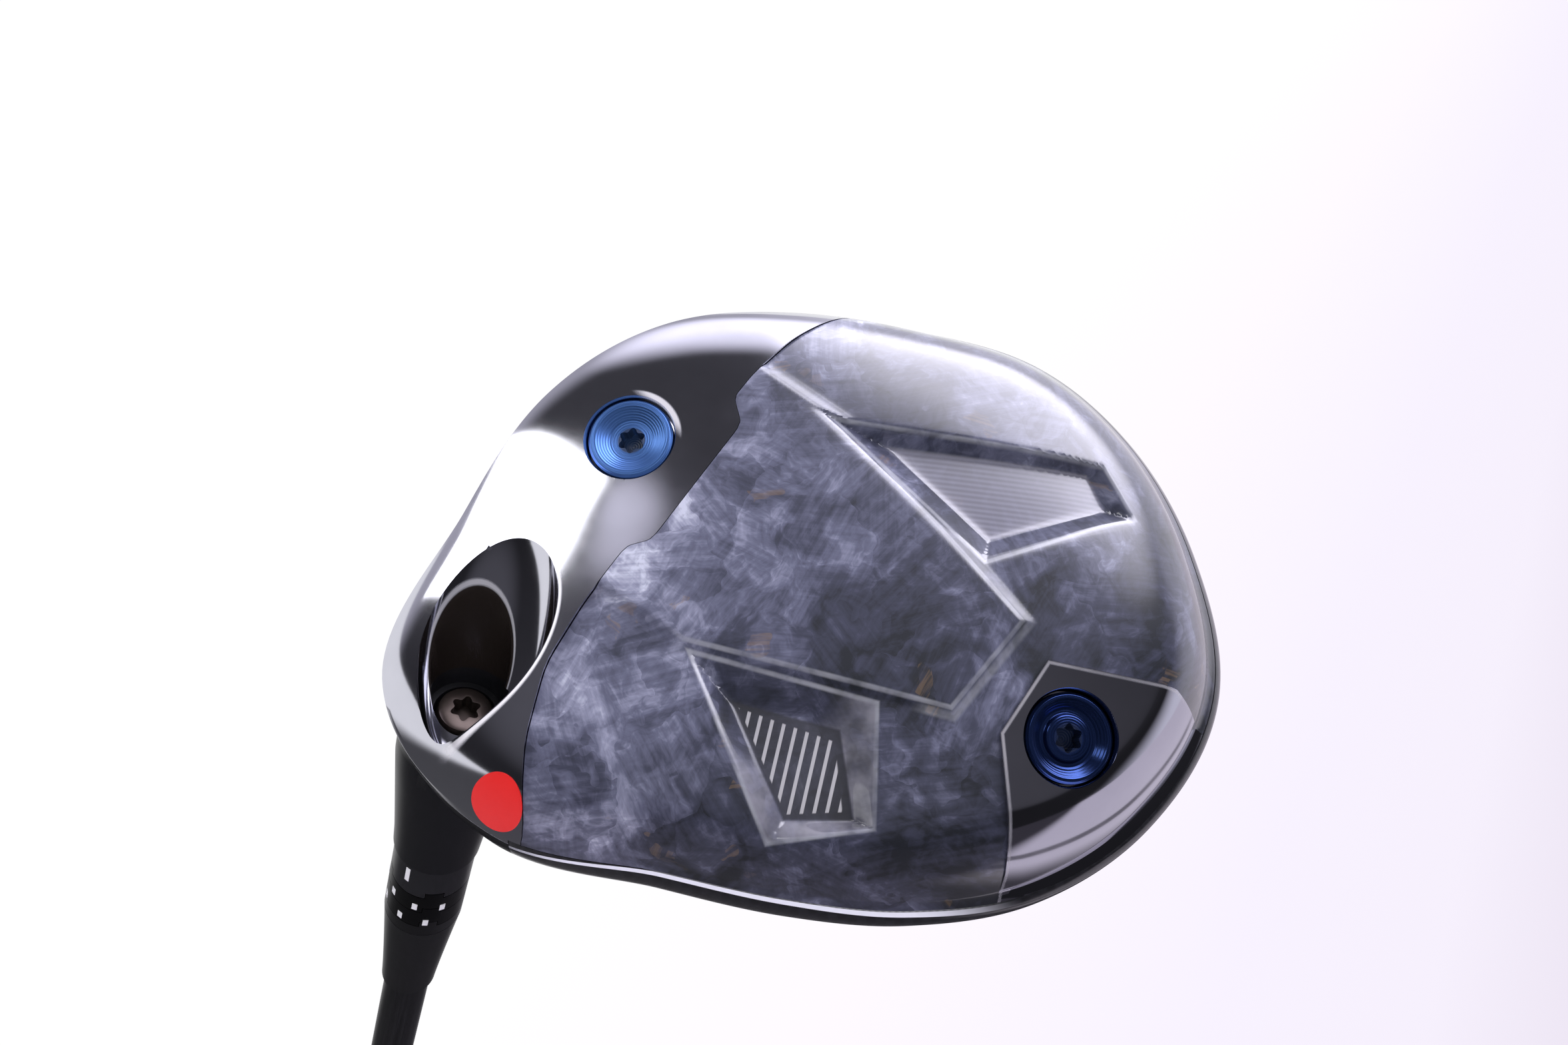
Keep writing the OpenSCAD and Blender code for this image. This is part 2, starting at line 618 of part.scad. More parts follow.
// Sleeve round the shaft between two offsets from its surface
module sleeve(breaks, inside, outside) {
  rotate_extrude() polygon(concat(
    [for (z = breaks) [shaft_r(z) + inside, z]],
    [for (i = [len(breaks) - 1:-1:0]) [shaft_r(breaks[i]) + outside, breaks[i]]]));
}
module shaft() color("#1e1e1e") sleeve(shaft_breaks, -shaft_wall, 0);
module grip_tape() color("wheat") sleeve(grip_breaks, glue_gap, glue_gap + tape_t);
module grip() color("#2a2a2a") rotate_extrude() polygon(concat(
  [for (z = grip_breaks) [shaft_r(z) + 2 * glue_gap + tape_t, z]],
  [[grip_mouth_d / 2 - grip_round, grip_length], [grip_mouth_d / 2, grip_length - 3 * grip_round],
   [grip_mouth_d / 2 + 0.4, grip_length - 60], [grip_butt_d / 2 - 1.5, 70], [grip_butt_d / 2, cap_t + 12],
   [grip_butt_d / 2, cap_t]]));
module grip_cap() color("black") rotate_extrude() polygon([[vent_d / 2, 0], [cap_d / 2 - cap_round, 0],
  [cap_d / 2, cap_round], [cap_d / 2, cap_t - cap_round], [grip_butt_d / 2, cap_t], [vent_d / 2, cap_t]]);

front_body();
face_plate();
hosel_tube();
carbon_sole();
carbon_crown();
rear_weight_housing();
front_weight();
rear_weight();
hosel_screw();
screw_washer();
screw_retainer();
tip_adapter();
loft_cog();
lie_cog();
ferrule();
shaft();
grip();
grip_cap();
grip_tape();
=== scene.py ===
import math

import bpy
import numpy as np
from mathutils import Matrix, Vector


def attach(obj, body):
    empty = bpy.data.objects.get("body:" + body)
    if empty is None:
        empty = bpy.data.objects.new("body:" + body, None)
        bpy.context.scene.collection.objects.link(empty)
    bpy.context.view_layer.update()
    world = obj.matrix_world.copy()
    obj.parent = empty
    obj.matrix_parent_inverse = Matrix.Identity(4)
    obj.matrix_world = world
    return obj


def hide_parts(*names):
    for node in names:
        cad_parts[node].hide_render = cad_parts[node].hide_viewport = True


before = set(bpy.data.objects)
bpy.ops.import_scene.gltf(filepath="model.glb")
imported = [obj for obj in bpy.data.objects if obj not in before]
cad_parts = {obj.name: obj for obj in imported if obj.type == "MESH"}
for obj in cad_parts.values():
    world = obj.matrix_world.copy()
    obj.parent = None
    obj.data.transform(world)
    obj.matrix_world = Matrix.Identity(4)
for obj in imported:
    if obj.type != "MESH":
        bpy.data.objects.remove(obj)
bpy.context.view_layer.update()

# Sizes in millimetres, as the club lies at address: x ahead, y towards the toe, z up from the ground.
MM = 0.001
CLUB_LENGTH = 1156
LIE = 58.5
HOSEL_X, HOSEL_Y = 28.5, 36
RADII = [56.5, 53.5, 50.5, 50.5, 53.5, 55, 56.5, 58.5, 55, 50.5, 46.5, 45.6, 49.6, 64, 71.5, 60.2]
CENTRE_BACK = 10
CROWN_HEIGHT, CROWN_AHEAD, CROWN_POWER = 59, 12, 2.7
LEAD_HEIGHT, FACE_HEIGHT, FACE_LOFT = 5, 52, 10.5
SKIRT_TOE, SKIRT_REAR, SKIRT_HEEL = 15, 20, 14
SKIRT_BAND, SIDE_BAND, SKIRT_BULGE = 7, 16, 3
SEAM_RISE, BOND_GAP = 1.2, 0.1
SHELL_WALL, FACE_WALL, CARBON_DROP = 1.4, 3, 1.1
HOUSING_WALL, HOUSING_TOP = 3, 14
SPINE_BEVEL, POCKET_DEPTH = 1.5, 3
FRONT_WEIGHT_X, FRONT_TILT = 30, 5
REAR_WEIGHT_X, REAR_PAD_Z, REAR_TILT = -47, 3.6, 13
WEIGHT_R, WEIGHT_HEAD, WEIGHT_SUNK = 6.4, 3.4, 0.5
PORT_R, PORT_CHAMFER, PORT_END = 6.65, 0.7, 10.4
SHANK_R, SHANK, SHANK_GAP, SHANK_PITCH = 4, 6, 0.25, 0.75
HOSEL_R, HOSEL_TOP, HOSEL_BORE_R, TUBE_BOTTOM = 6.8, 64, 5.5, 19
GLUE_GAP = 0.05
COG_H, TOOTH_H, TOOTH_W, TOOTH_GAP = 5, 1.6, 3, 0.1
COGS_LOW = HOSEL_TOP + GLUE_GAP
ADAPTER_R, ADAPTER_LOW, COLLAR_H, FERRULE_L, FERRULE_END_R = 5.45, 27.3, 3, 28, 5
SCREW_SEAT, SEAT_WALL, WASHER_T = 23, 2.5, 1
SCREW_HEAD_R, SCREW_HEAD, SCREW_R, SCREW_L, SCREW_PITCH = 4.2, 4, 2.5, 18, 0.8
SHAFT_TIP = SCREW_SEAT - WASHER_T + SCREW_L + 3
TIP_R, BUTT_R, SHAFT_WALL, TIP_PARALLEL, BUTT_PARALLEL = 4.25, 7.6, 1.3, 110, 180
GRIP_LENGTH, GRIP_BUTT_R, GRIP_MOUTH_R = 268, 13, 8.8
CAP_R, CAP_T, CAP_ROUND, VENT_R = 15, 5, 1.5, 1.8
FAR = 200
SCOOP, SCOOP_R = (29, -35.4, 3.2), (9.5, 20.3, 5.6)
SCOOP_TURN, SCOOP_TILT = -21, -21.5
# The wrench hole's oval mouth in the neck's frame, and its round end
MOUTH, MOUTH_R, MOUTH_TURN = (3.3, 1.9), (6.9, 7.4), math.radians(-28)
MOUTH_END, MOUTH_END_R = 16, 5.2

# Outlines on the sole's plan
SOLE_JOINT = [(15, FAR), (16, 44), (20, 28), (21, 19), (21, 14), (17.5, 11), (17.5, -11),
              (20, -14), (20, -24), (19, -34), (15, -44), (9, -54), (4, -FAR)]
CROWN_JOINT = [(2, FAR), (6, 48), (20, 36), (30, 20), (33, 1.5), (30, -24), (20, -40), (11, -52),
               (6, -FAR)]
HOUSING = [(-38.5, 7), (-56, 15.5), (-FAR, 25), (-FAR, -70), (-58, -34), (-50, -19.5), (-38.5, -5.5)]
SPINE = [(30, 21), (5, 20), (-32.5, 9.5), (-31, -6.5), (5, -20), (30, -20)]
HEEL_RIM = [(-31.5, -26), (-20.5, -36), (3.5, -21), (-22.3, -11.8)]
HEEL_FLOOR = [(-28.5, -26.5), (-20.5, -32), (-5, -23), (-20, -17.5)]
TOE_RIM = [(-38, 33.5), (-23.5, 14), (7, 20), (-30, 38)]
TOE_FLOOR = [(-33.6, 32.6), (-22, 18), (-1.2, 21.6), (-28.4, 36)]
# Edges of the looks: the heel pocket's slanting lines and the painted highlight on the housing's rim
HEEL_LINES = [(-20.3, -31.2), (-6.6, -23.1), (-20.3, -19.2), (-26.6, -26.4)]
RIM_HIGHLIGHT_HEEL = [(-100, -80.4), (-38.5, -5.5), (-38.5, FAR), (-100, FAR)]
RIM_HIGHLIGHT_HEEL_STEP = [(-80, -73.9), (-38.5, 1.34), (-38.5, FAR), (-80, FAR)]
RIM_HIGHLIGHT_TOE = [(-38.5, 7), (-56, 15.5), (-FAR, 25), (-FAR, -FAR), (-38.5, -FAR)]

# Circles that the face's outline runs round, and the neck's flare as radius and height
FACE_LOBES = [(-28, 22, 9), (-18, 34, 11), (8, 35, 13), (22, 27, 11), (12, 19.5, 10.5), (-14, 19, 10)]
FLARE = [(5, 13), (7.4, 16), (8.7, 20), (9.2, 25), (9.2, 29), (8.8, 34), (8.3, 40), (7.8, 46),
         (7.4, 51), (7.2, 55)]

# Setting marks: low and high ends, angles and half width
NECK_MARKS = (56.5, 60.5, (0,), 0.45)
COG_MARKS = ((66.4, 68.4, (-60, -20, 20, 60), 0.5), (71.4, 73.4, (-40, 0, 40), 0.5))
STICKER, STICKER_R = (13.9, -53.5), (4.0, 5.4)

# The photo's camera, in the head's frame
CAMERA_SPOT = (-34.416, -46.429, -181.977)
CAMERA_AHEAD, CAMERA_UP = (0.19609, 0.25162, 0.94775), (0.54375, 0.77641, -0.31863)
FOCAL_PIXELS, PHOTO_PIXELS, SENSOR = 1999.0955, 2353, 36


def turn(degrees, axis):
    return Matrix.Rotation(math.radians(degrees), 4, axis)


def shift(x, y, z):
    return Matrix.Translation((x, y, z))


ON_SHAFT = Matrix.Scale(MM, 4)
AT_SOLE = ON_SHAFT @ shift(0, 0, CLUB_LENGTH)
IN_HEAD = AT_SOLE @ turn(180, "Z") @ turn(90 + LIE, "X") @ shift(-HOSEL_X, HOSEL_Y, 0)
ON_NECK = AT_SOLE @ turn(180, "X")
NECK_IN_HEAD = shift(HOSEL_X, -HOSEL_Y, 0) @ turn(90 - LIE, "X")
SCOOP_IN_HEAD = shift(*SCOOP) @ turn(SCOOP_TURN, "Z") @ turn(SCOOP_TILT, "X")


# The head's surface

def blend(a, ahead, toe, rear, heel):
    c, s = np.cos(a), np.sin(a)
    return np.where(c > 0, ahead, rear) * c * c + np.where(s > 0, toe, heel) * s * s


def outline(a):
    n = len(RADII)
    u = (a / (2 * math.pi) * n) % n
    i = np.floor(u).astype(int)
    f = u - i
    p = [1 / np.array(RADII)[(i + k) % n] for k in (-1, 0, 1, 2)]
    return 1 / (p[1] + f / 2 * (p[2] - p[0] + f * (2 * p[0] - 5 * p[1] + 4 * p[2] - p[3]
                                                   + f * (3 * (p[1] - p[2]) + p[3] - p[0]))))


def low_z(a):
    return blend(a, LEAD_HEIGHT, SKIRT_TOE, SKIRT_REAR, SKIRT_HEEL)


def high_z(a):
    return blend(a, FACE_HEIGHT, SKIRT_TOE + SIDE_BAND, SKIRT_REAR + SKIRT_BAND, SKIRT_HEEL + SIDE_BAND)


def low_r(a):
    return outline(a) - blend(a, 0.5, SKIRT_BULGE, SKIRT_BULGE, SKIRT_BULGE)


def high_r(a):
    back = (FACE_HEIGHT - LEAD_HEIGHT) * math.tan(math.radians(FACE_LOFT))
    return outline(a) - blend(a, back, SKIRT_BULGE, SKIRT_BULGE, SKIRT_BULGE)


def sole_z(a, q):
    return low_z(a) * (0.25 * q ** 2 + 0.75 * q ** 9)


def sole_at(x, y):
    x = np.asarray(x, float) + CENTRE_BACK
    y = np.asarray(y, float)
    a = np.arctan2(y, x)
    q = np.hypot(x, y) / low_r(a)
    return sole_z(a, q), q


FRONT_PAD_Z = float(sole_at(FRONT_WEIGHT_X, 0)[0])
FRONT_PORT = shift(FRONT_WEIGHT_X, 0, FRONT_PAD_Z) @ turn(-FRONT_TILT, "Y")
REAR_PORT = shift(REAR_WEIGHT_X, 0, REAR_PAD_Z) @ turn(REAR_TILT, "Y")


def rounded_max(a, b, width):
    return (a + b + np.sqrt((a - b) ** 2 + width ** 2)) / 2


def side_of(start, end, x, y):
    """Distance to the right of the line from one point to another."""
    (x0, y0), (x1, y1) = start, end
    return ((x - x0) * (y1 - y0) - (y - y0) * (x1 - x0)) / math.hypot(x1 - x0, y1 - y0)


def beyond(points, x, y):
    """Distance outside a convex outline that runs round to the left, and below zero inside it."""
    out = np.full(np.shape(x), -1e9)
    for start, end in zip(points, points[1:] + points[:1]):
        out = np.maximum(out, side_of(start, end, x, y))
    return out


def pocket_share(rim, floor, x, y):
    """How far down a pocket's slanting wall a place lies: 0 on the rim, 1 on the floor's edge."""
    share = np.full(np.shape(x), 1e9)
    for i in range(len(rim)):
        from_rim, from_floor = (side_of(points[i - 1], points[i], x, y) for points in (rim, floor))
        share = np.minimum(share, -from_rim / np.maximum(from_floor - from_rim, 0.5))
    return share


def carbon_z(x, y, skirt):
    """Height of the carbon sole: the raised spine with bevelled edges, and the two pockets."""
    top, q = sole_at(x, y)
    low = top + CARBON_DROP * (1 - np.minimum(q, 1) ** 4)
    raised = top + CARBON_DROP * beyond(SPINE, x, y) / SPINE_BEVEL
    z = -rounded_max(-low, -rounded_max(top, raised, 0.16), 0.22)
    for rim, floor in ((HEEL_RIM, HEEL_FLOOR), (TOE_RIM, TOE_FLOOR)):
        down = pocket_share(rim, floor, x, y)
        depth = -rounded_max(-POCKET_DEPTH * np.ones_like(down), -POCKET_DEPTH * down, 0.3)
        z = rounded_max(z, low + depth, 0.3)
    return z + skirt


# Tools of the bench

def pick(obj):
    bpy.ops.object.select_all(action="DESELECT")
    obj.select_set(True)
    bpy.context.view_layer.objects.active = obj


def place(obj, spots):
    obj.data.vertices.foreach_set("co", np.asarray(spots, np.float32).ravel())
    obj.data.update()


def spots_of(obj):
    spots = np.zeros(len(obj.data.vertices) * 3, np.float32)
    obj.data.vertices.foreach_get("co", spots)
    return spots.reshape(-1, 3).astype(float)


def edit(obj, *steps):
    """Runs edit-mode steps on the whole mesh."""
    pick(obj)
    bpy.ops.object.mode_set(mode="EDIT")
    bpy.ops.mesh.select_mode(type="VERT")
    bpy.ops.mesh.select_all(action="SELECT")
    for step in steps:
        step()
    bpy.ops.object.mode_set(mode="OBJECT")
    return obj


def merge():
    bpy.ops.mesh.select_all(action="SELECT")
    bpy.ops.mesh.remove_doubles(threshold=1e-4)
    bpy.ops.mesh.delete_loose(use_verts=True, use_edges=True, use_faces=False)
    bpy.ops.mesh.select_all(action="SELECT")
    bpy.ops.mesh.normals_make_consistent(inside=False)


def apply(obj, kind, **settings):
    modifier = obj.modifiers.new(kind.lower(), kind)
    for key, value in settings.items():
        setattr(modifier, key, value)
    pick(obj)
    bpy.ops.object.modifier_apply(modifier=modifier.name)
    return obj


def cut(obj, *cutters, how="DIFFERENCE", solver="MANIFOLD"):
    for cutter in cutters:
        apply(obj, "TRIANGULATE")
        apply(cutter, "TRIANGULATE")
        apply(obj, "BOOLEAN", operation=how, object=cutter, solver=solver)
        bpy.data.objects.remove(cutter, do_unlink=True)


def join(obj, *others):
    pick(obj)
    for other in others:
        other.select_set(True)
    if others:
        bpy.ops.object.join()
    return obj


def head_form(name, inset=0, rows=(36, 12, 22), sectors=144, height=None):
    """The whole head, closed: a grid wrapped round it, with rows on the sole, the skirt and the crown."""
    sole, band, crown = rows
    bpy.ops.mesh.primitive_grid_add(x_subdivisions=sectors, y_subdivisions=sole + band + crown + 1, size=2)
    obj = bpy.context.object
    obj.name = name
    flat = spots_of(obj)
    ring = np.rint((flat[:, 1] + 1) / 2 * (sole + band + crown + 1)).astype(int)
    a = np.rint((flat[:, 0] + 1) / 2 * sectors) % sectors / sectors * 2 * math.pi + 0.004
    q = np.clip(ring / (sole + 1), 0, 1) ** 0.85
    u = np.clip((ring - sole - 1) / (band - 1), 0, 1)
    p = np.clip((sole + band + crown + 1 - ring) / (crown + 1), 0, 1) ** 0.8
    on_sole, on_crown = ring <= sole, ring > sole + band
    bulge = blend(a, 1, SKIRT_BULGE, SKIRT_BULGE, SKIRT_BULGE) * 4 * u * (1 - u)
    on_skirt = low_r(a) * (1 - u) + high_r(a) * u + bulge - inset
    r = np.where(on_sole, q * (low_r(a) - inset), on_skirt)
    r = np.where(on_crown, p * (high_r(a) - inset), r)
    x = r * np.cos(a) - CENTRE_BACK + np.where(on_crown, (1 - p) * CROWN_AHEAD, 0)
    y = r * np.sin(a)
    sole_height = sole_z(a, q) + inset
    if height is not None:
        sole_height = np.where(on_sole, height(x, y, inset), sole_height)
    z = np.where(on_sole, sole_height, low_z(a) * (1 - u) + high_z(a) * u + inset * (1 - 2 * u))
    z = np.where(on_crown, CROWN_HEIGHT - (CROWN_HEIGHT - high_z(a)) * p ** CROWN_POWER - inset, z)
    place(obj, np.stack([x, y, z], 1))
    return edit(obj, merge)


def above_seam(lift):
    """Everything above the seam between the sole and the crown."""
    bpy.ops.mesh.primitive_uv_sphere_add(segments=288, ring_count=4)
    obj = bpy.context.object
    ball = spots_of(obj)
    ring = np.rint((math.pi - np.arccos(np.clip(ball[:, 2], -1, 1))) / math.pi * 4).astype(int)
    a = np.arctan2(ball[:, 1], ball[:, 0]) + 0.007
    r = np.array([0, 0.8, 1.6, 1.6, 0])[ring] * low_r(a)
    z = np.where(ring == 0, SKIRT_TOE, low_z(a) + SEAM_RISE + lift)
    z = np.where(ring >= 3, FAR, z)
    place(obj, np.stack([r * np.cos(a) - CENTRE_BACK, r * np.sin(a), z], 1))
    return obj


def softened(line):
    """A line with its corners cut off twice, each time by 0.12 of a side and 1.2 mm at most."""
    for _ in range(2):
        out = [line[0]]
        for (x0, y0), (x1, y1) in zip(line, line[1:]):
            t = min(0.12, 1.2 / math.hypot(x1 - x0, y1 - y0))
            out += [(x0 + (x1 - x0) * t, y0 + (y1 - y0) * t), (x1 + (x0 - x1) * t, y1 + (y0 - y1) * t)]
        line = out + [line[-1]]
    return line


def slab(points, low, high):
    """A prism over an outline, from a disc whose corners are moved and drawn up."""
    bpy.ops.mesh.primitive_circle_add(vertices=len(points), fill_type="NGON")
    obj = bpy.context.object
    place(obj, [(x, y, low) for x, y in points])
    rise = {"value": (0, 0, high - low)}
    return edit(obj,
                lambda: bpy.ops.mesh.extrude_region_move(TRANSFORM_OT_translate=rise),
                lambda: bpy.ops.mesh.select_all(action="SELECT"),
                lambda: bpy.ops.mesh.normals_make_consistent(inside=False))


def ahead_of(line):
    """Everything ahead of a joint, and the bond's gap behind it."""
    return slab([(FAR, FAR)] + [(x - BOND_GAP, y) for x, y in softened(line)] + [(FAR, -FAR)], -FAR, FAR)


def behind(line):
    return slab([(-FAR, FAR)] + softened(line) + [(-FAR, -FAR)], -FAR, FAR)


def turned(profile, steps=96, at=None):
    """A piece turned on a lathe: a closed profile of radius and height, spun round Z."""
    bpy.ops.mesh.primitive_circle_add(vertices=len(profile), fill_type="NOTHING")
    obj = bpy.context.object
    place(obj, [(r, 0, z) for r, z in profile])
    edit(obj,
         lambda: bpy.ops.mesh.spin(steps=steps, angle=2 * math.pi, center=(0, 0, 0), axis=(0, 0, 1)),
         merge)
    if at is not None:
        obj.data.transform(at)
    return obj


def rod(r, low, high, at=None):
    return turned([(0, low), (r, low), (r, high), (0, high)], 64, at)


def block(low, high, at):
    bpy.ops.mesh.primitive_cube_add(size=1)
    obj = bpy.context.object
    place(obj, (spots_of(obj) + 0.5) * (np.array(high) - np.array(low)) + np.array(low))
    obj.data.transform(at)
    return obj


def scoop_form(grow=0):
    bpy.ops.mesh.primitive_uv_sphere_add(segments=96, ring_count=48)
    obj = bpy.context.object
    obj.data.transform(SCOOP_IN_HEAD @ Matrix.Diagonal((*(r + grow for r in SCOOP_R), 1)))
    return obj


def mouth_form(end, end_r, grow=0):
    """The wrench hole's oval mouth, drawn in to a round end."""
    obj = turned([(0, -6), (1, -6), (1, 0), (1, end / 2), (1, end), (0, end)], 96)
    x, y, z = spots_of(obj).T
    share = np.clip(z / end, 0, 1)
    c, s = math.cos(MOUTH_TURN), math.sin(MOUTH_TURN)
    wide, long = x * (MOUTH_R[0] + grow), y * (MOUTH_R[1] + grow)
    place(obj, np.stack([(MOUTH[0] + wide * c - long * s) * (1 - share) + x * end_r * share,
                         (MOUTH[1] + wide * s + long * c) * (1 - share) + y * end_r * share, z], 1))
    obj.data.transform(NECK_IN_HEAD)
    return obj


def port_form(at):
    """The stepped hole for a weight, with its chamfered rim."""
    c, seat, bore = PORT_CHAMFER, WEIGHT_SUNK + WEIGHT_HEAD, SHANK_R + SHANK_GAP
    return turned([(0, -30), (PORT_R + 29 + c, -30), (PORT_R + c, -c), (PORT_R, c), (PORT_R, seat),
                   (bore, seat), (bore, PORT_END), (0, PORT_END)], 96, at)


def six_lobes(r, low, high):
    """The form of a six-lobed wrench bit."""
    points = []
    for k in range(96):
        t = 2 * math.pi * k / 96
        out = r * (0.86 + 0.14 * math.cos(6 * t))
        points.append((out * math.cos(t), out * math.sin(t)))
    return slab(points, low, high)


def shown(obj, name, body, finish, at, nodes=(), angle=30):
    """Places a finished piece, smooths it, and lets it ride on its body."""
    obj.data.transform(at)
    obj.name = obj.data.name = name
    obj.data.materials.clear()
    obj.data.materials.append(finish)
    pick(obj)
    bpy.ops.object.shade_smooth_by_angle(angle=math.radians(angle))
    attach(obj, body)
    if nodes:
        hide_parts(*nodes)


# Finishes

FULL_TURN = 6.283


class Wire:
    """A socket of a finish, so that sums are written as Python."""

    def __init__(self, finish, socket):
        self.finish, self.socket = finish, socket

    def do(self, operation, *values):
        return self.finish.node("ShaderNodeMath", {"operation": operation}, dict(enumerate(values)))

    def other(self, name):
        return Wire(self.finish, self.socket.node.outputs[name])

    def __add__(self, value): return self.do("ADD", self, value)
    __radd__ = __add__
    def __sub__(self, value): return self.do("SUBTRACT", self, value)
    def __rsub__(self, value): return self.do("SUBTRACT", value, self)
    def __mul__(self, value): return self.do("MULTIPLY", self, value)
    __rmul__ = __mul__
    def __truediv__(self, value): return self.do("DIVIDE", self, value)
    def __pow__(self, value): return self.do("POWER", self, value)
    def __abs__(self): return self.do("ABSOLUTE", self)
    def sin(self): return self.do("SINE", self)
    def cos(self): return self.do("COSINE", self)
    def least(self, value): return self.do("MINIMUM", self, value)
    def most(self, value): return self.do("MAXIMUM", self, value)
    def wrapped(self, value): return self.do("FLOORED_MODULO", self, value)

    def over(self, low, high):
        return self.finish.node("ShaderNodeMapRange", {"interpolation_type": "SMOOTHSTEP"},
                                {"Value": self, "From Min": low, "From Max": high})


class Finish:
    """One material, made of nodes."""

    def __init__(self, name):
        self.material = bpy.data.materials.new(name)
        self.material.use_nodes = True
        self.tree = self.material.node_tree
        self.tree.nodes.clear()

    def node(self, kind, settings=None, values=None):
        made = self.tree.nodes.new(kind)
        for key, value in (settings or {}).items():
            if key == "stops":
                while len(made.color_ramp.elements) < len(value):
                    made.color_ramp.elements.new(0.5)
                for element, (spot, colour) in zip(made.color_ramp.elements, value):
                    element.position, element.color = spot, (*colour, 1)
            else:
                setattr(made, key, value)
        for key, value in (values or {}).items():
            if isinstance(value, Wire):
                self.tree.links.new(value.socket, made.inputs[key])
            elif value is not None:
                made.inputs[key].default_value = value
        return Wire(self, made.outputs[0]) if made.outputs else None

    def spots(self, frame_of_pattern=None):
        """Places on the piece, in millimetres of the given frame."""
        spots = self.node("ShaderNodeTexCoord").other("Object")
        back = (frame_of_pattern or ON_SHAFT).inverted()
        return self.node("ShaderNodeMapping", None, {
            "Vector": spots, "Location": back.translation, "Rotation": back.to_euler(),
            "Scale": (1 / MM,) * 3})

    def apart(self, vector):
        x = self.node("ShaderNodeSeparateXYZ", None, {0: vector})
        return x, x.other("Y"), x.other("Z")

    def joined(self, x, y, z):
        return self.node("ShaderNodeCombineXYZ", None, {0: x, 1: y, 2: z})

    def moved(self, vector, by):
        return self.node("ShaderNodeVectorMath", {"operation": "ADD"}, {0: vector, 1: by})

    def times(self, vector, by):
        return self.node("ShaderNodeVectorMath", {"operation": "MULTIPLY"}, {0: vector, 1: by})

    def noise(self, vector, scale, detail=3.0, rough=0.5):
        return self.node("ShaderNodeTexNoise", None, {
            "Vector": vector, "Scale": scale, "Detail": detail, "Roughness": rough})

    def cells(self, vector, scale):
        return self.node("ShaderNodeTexVoronoi", None, {"Vector": vector, "Scale": scale})

    def ramp(self, value, stops):
        return self.node("ShaderNodeValToRGB", {"stops": stops}, {0: value})

    def mixed(self, share, first, second):
        colours = [value if isinstance(value, Wire) else (*value, 1) for value in (first, second)]
        made = self.node("ShaderNodeMix", {"data_type": "RGBA"}, {0: share, 6: colours[0], 7: colours[1]})
        return Wire(self, made.socket.node.outputs[2])

    def bump(self, height, strength, depth=1e-4):
        return self.node("ShaderNodeBump", None, {"Height": height, "Strength": strength, "Distance": depth})

    def surface(self, **values):
        shader = self.node("ShaderNodeBsdfPrincipled", None, {
            key.replace("_", " "): (*value, 1) if isinstance(value, tuple) and len(value) == 3 else value
            for key, value in values.items()})
        self.node("ShaderNodeOutputMaterial", None, {0: shader})
        return self.material


def depth_in(points, x, y):
    """How far inside a convex outline on the sole's plan a place lies, in millimetres."""
    least = None
    for (x0, y0), (x1, y1) in zip(points, points[1:] + points[:1]):
        n = math.hypot(x1 - x0, y1 - y0)
        side = x * (-(y1 - y0) / n) + y * ((x1 - x0) / n) + ((y1 - y0) * x0 - (x1 - x0) * y0) / n
        least = side if least is None else least.least(side)
    return least


def inside(points, x, y, soft=0.25):
    return depth_in(points, x, y).over(-soft, soft)


def along_axis(x, y):
    """How far fore or aft of the head's middle a place lies: 0 at the sides, 1 ahead and behind."""
    back = x + CENTRE_BACK
    return back * back / (back * back + y * y)


def brushed_metal(f, p, tint):
    """Fine brushing, soft smudges, and the metal's colour under them."""
    brushed = f.noise(f.times(p, (0.35, 5.0, 0.35)), 1.0, 3)
    smudge = f.noise(p, 0.06, 4, 0.6)
    return brushed, smudge, f.mixed(smudge.over(0.3, 0.75), tuple(t * 0.9 for t in tint), tint)


def housing_with_rim_highlight(name, tint):
    """Polished metal, with a painted highlight on the thin rim of the rear weight's housing."""
    f = Finish(name)
    p = f.spots(IN_HEAD)
    x, y, _ = f.apart(p)
    brushed, smudge, colour = brushed_metal(f, p, tint)
    heel_side = depth_in(RIM_HIGHLIGHT_HEEL, x, y).most(depth_in(RIM_HIGHLIGHT_HEEL_STEP, x, y))
    rim = abs(heel_side.least(depth_in(RIM_HIGHLIGHT_TOE, x, y)) - 0.3).over(0.35, 0.05)
    # Painted highlight along the housing's rim: pale and less metallic
    rim_highlight = rim * x.over(-61, -54) * (smudge.over(0.3, 0.7) * 0.6 + 0.4)
    colour = f.mixed(rim_highlight * 0.8, colour, (0.42, 0.4, 0.42))
    return f.surface(Base_Color=colour, Metallic=1 - rim_highlight * 0.6,
                     Roughness=brushed * 0.015 + smudge.over(0.35, 0.8) * 0.05 + 0.06)


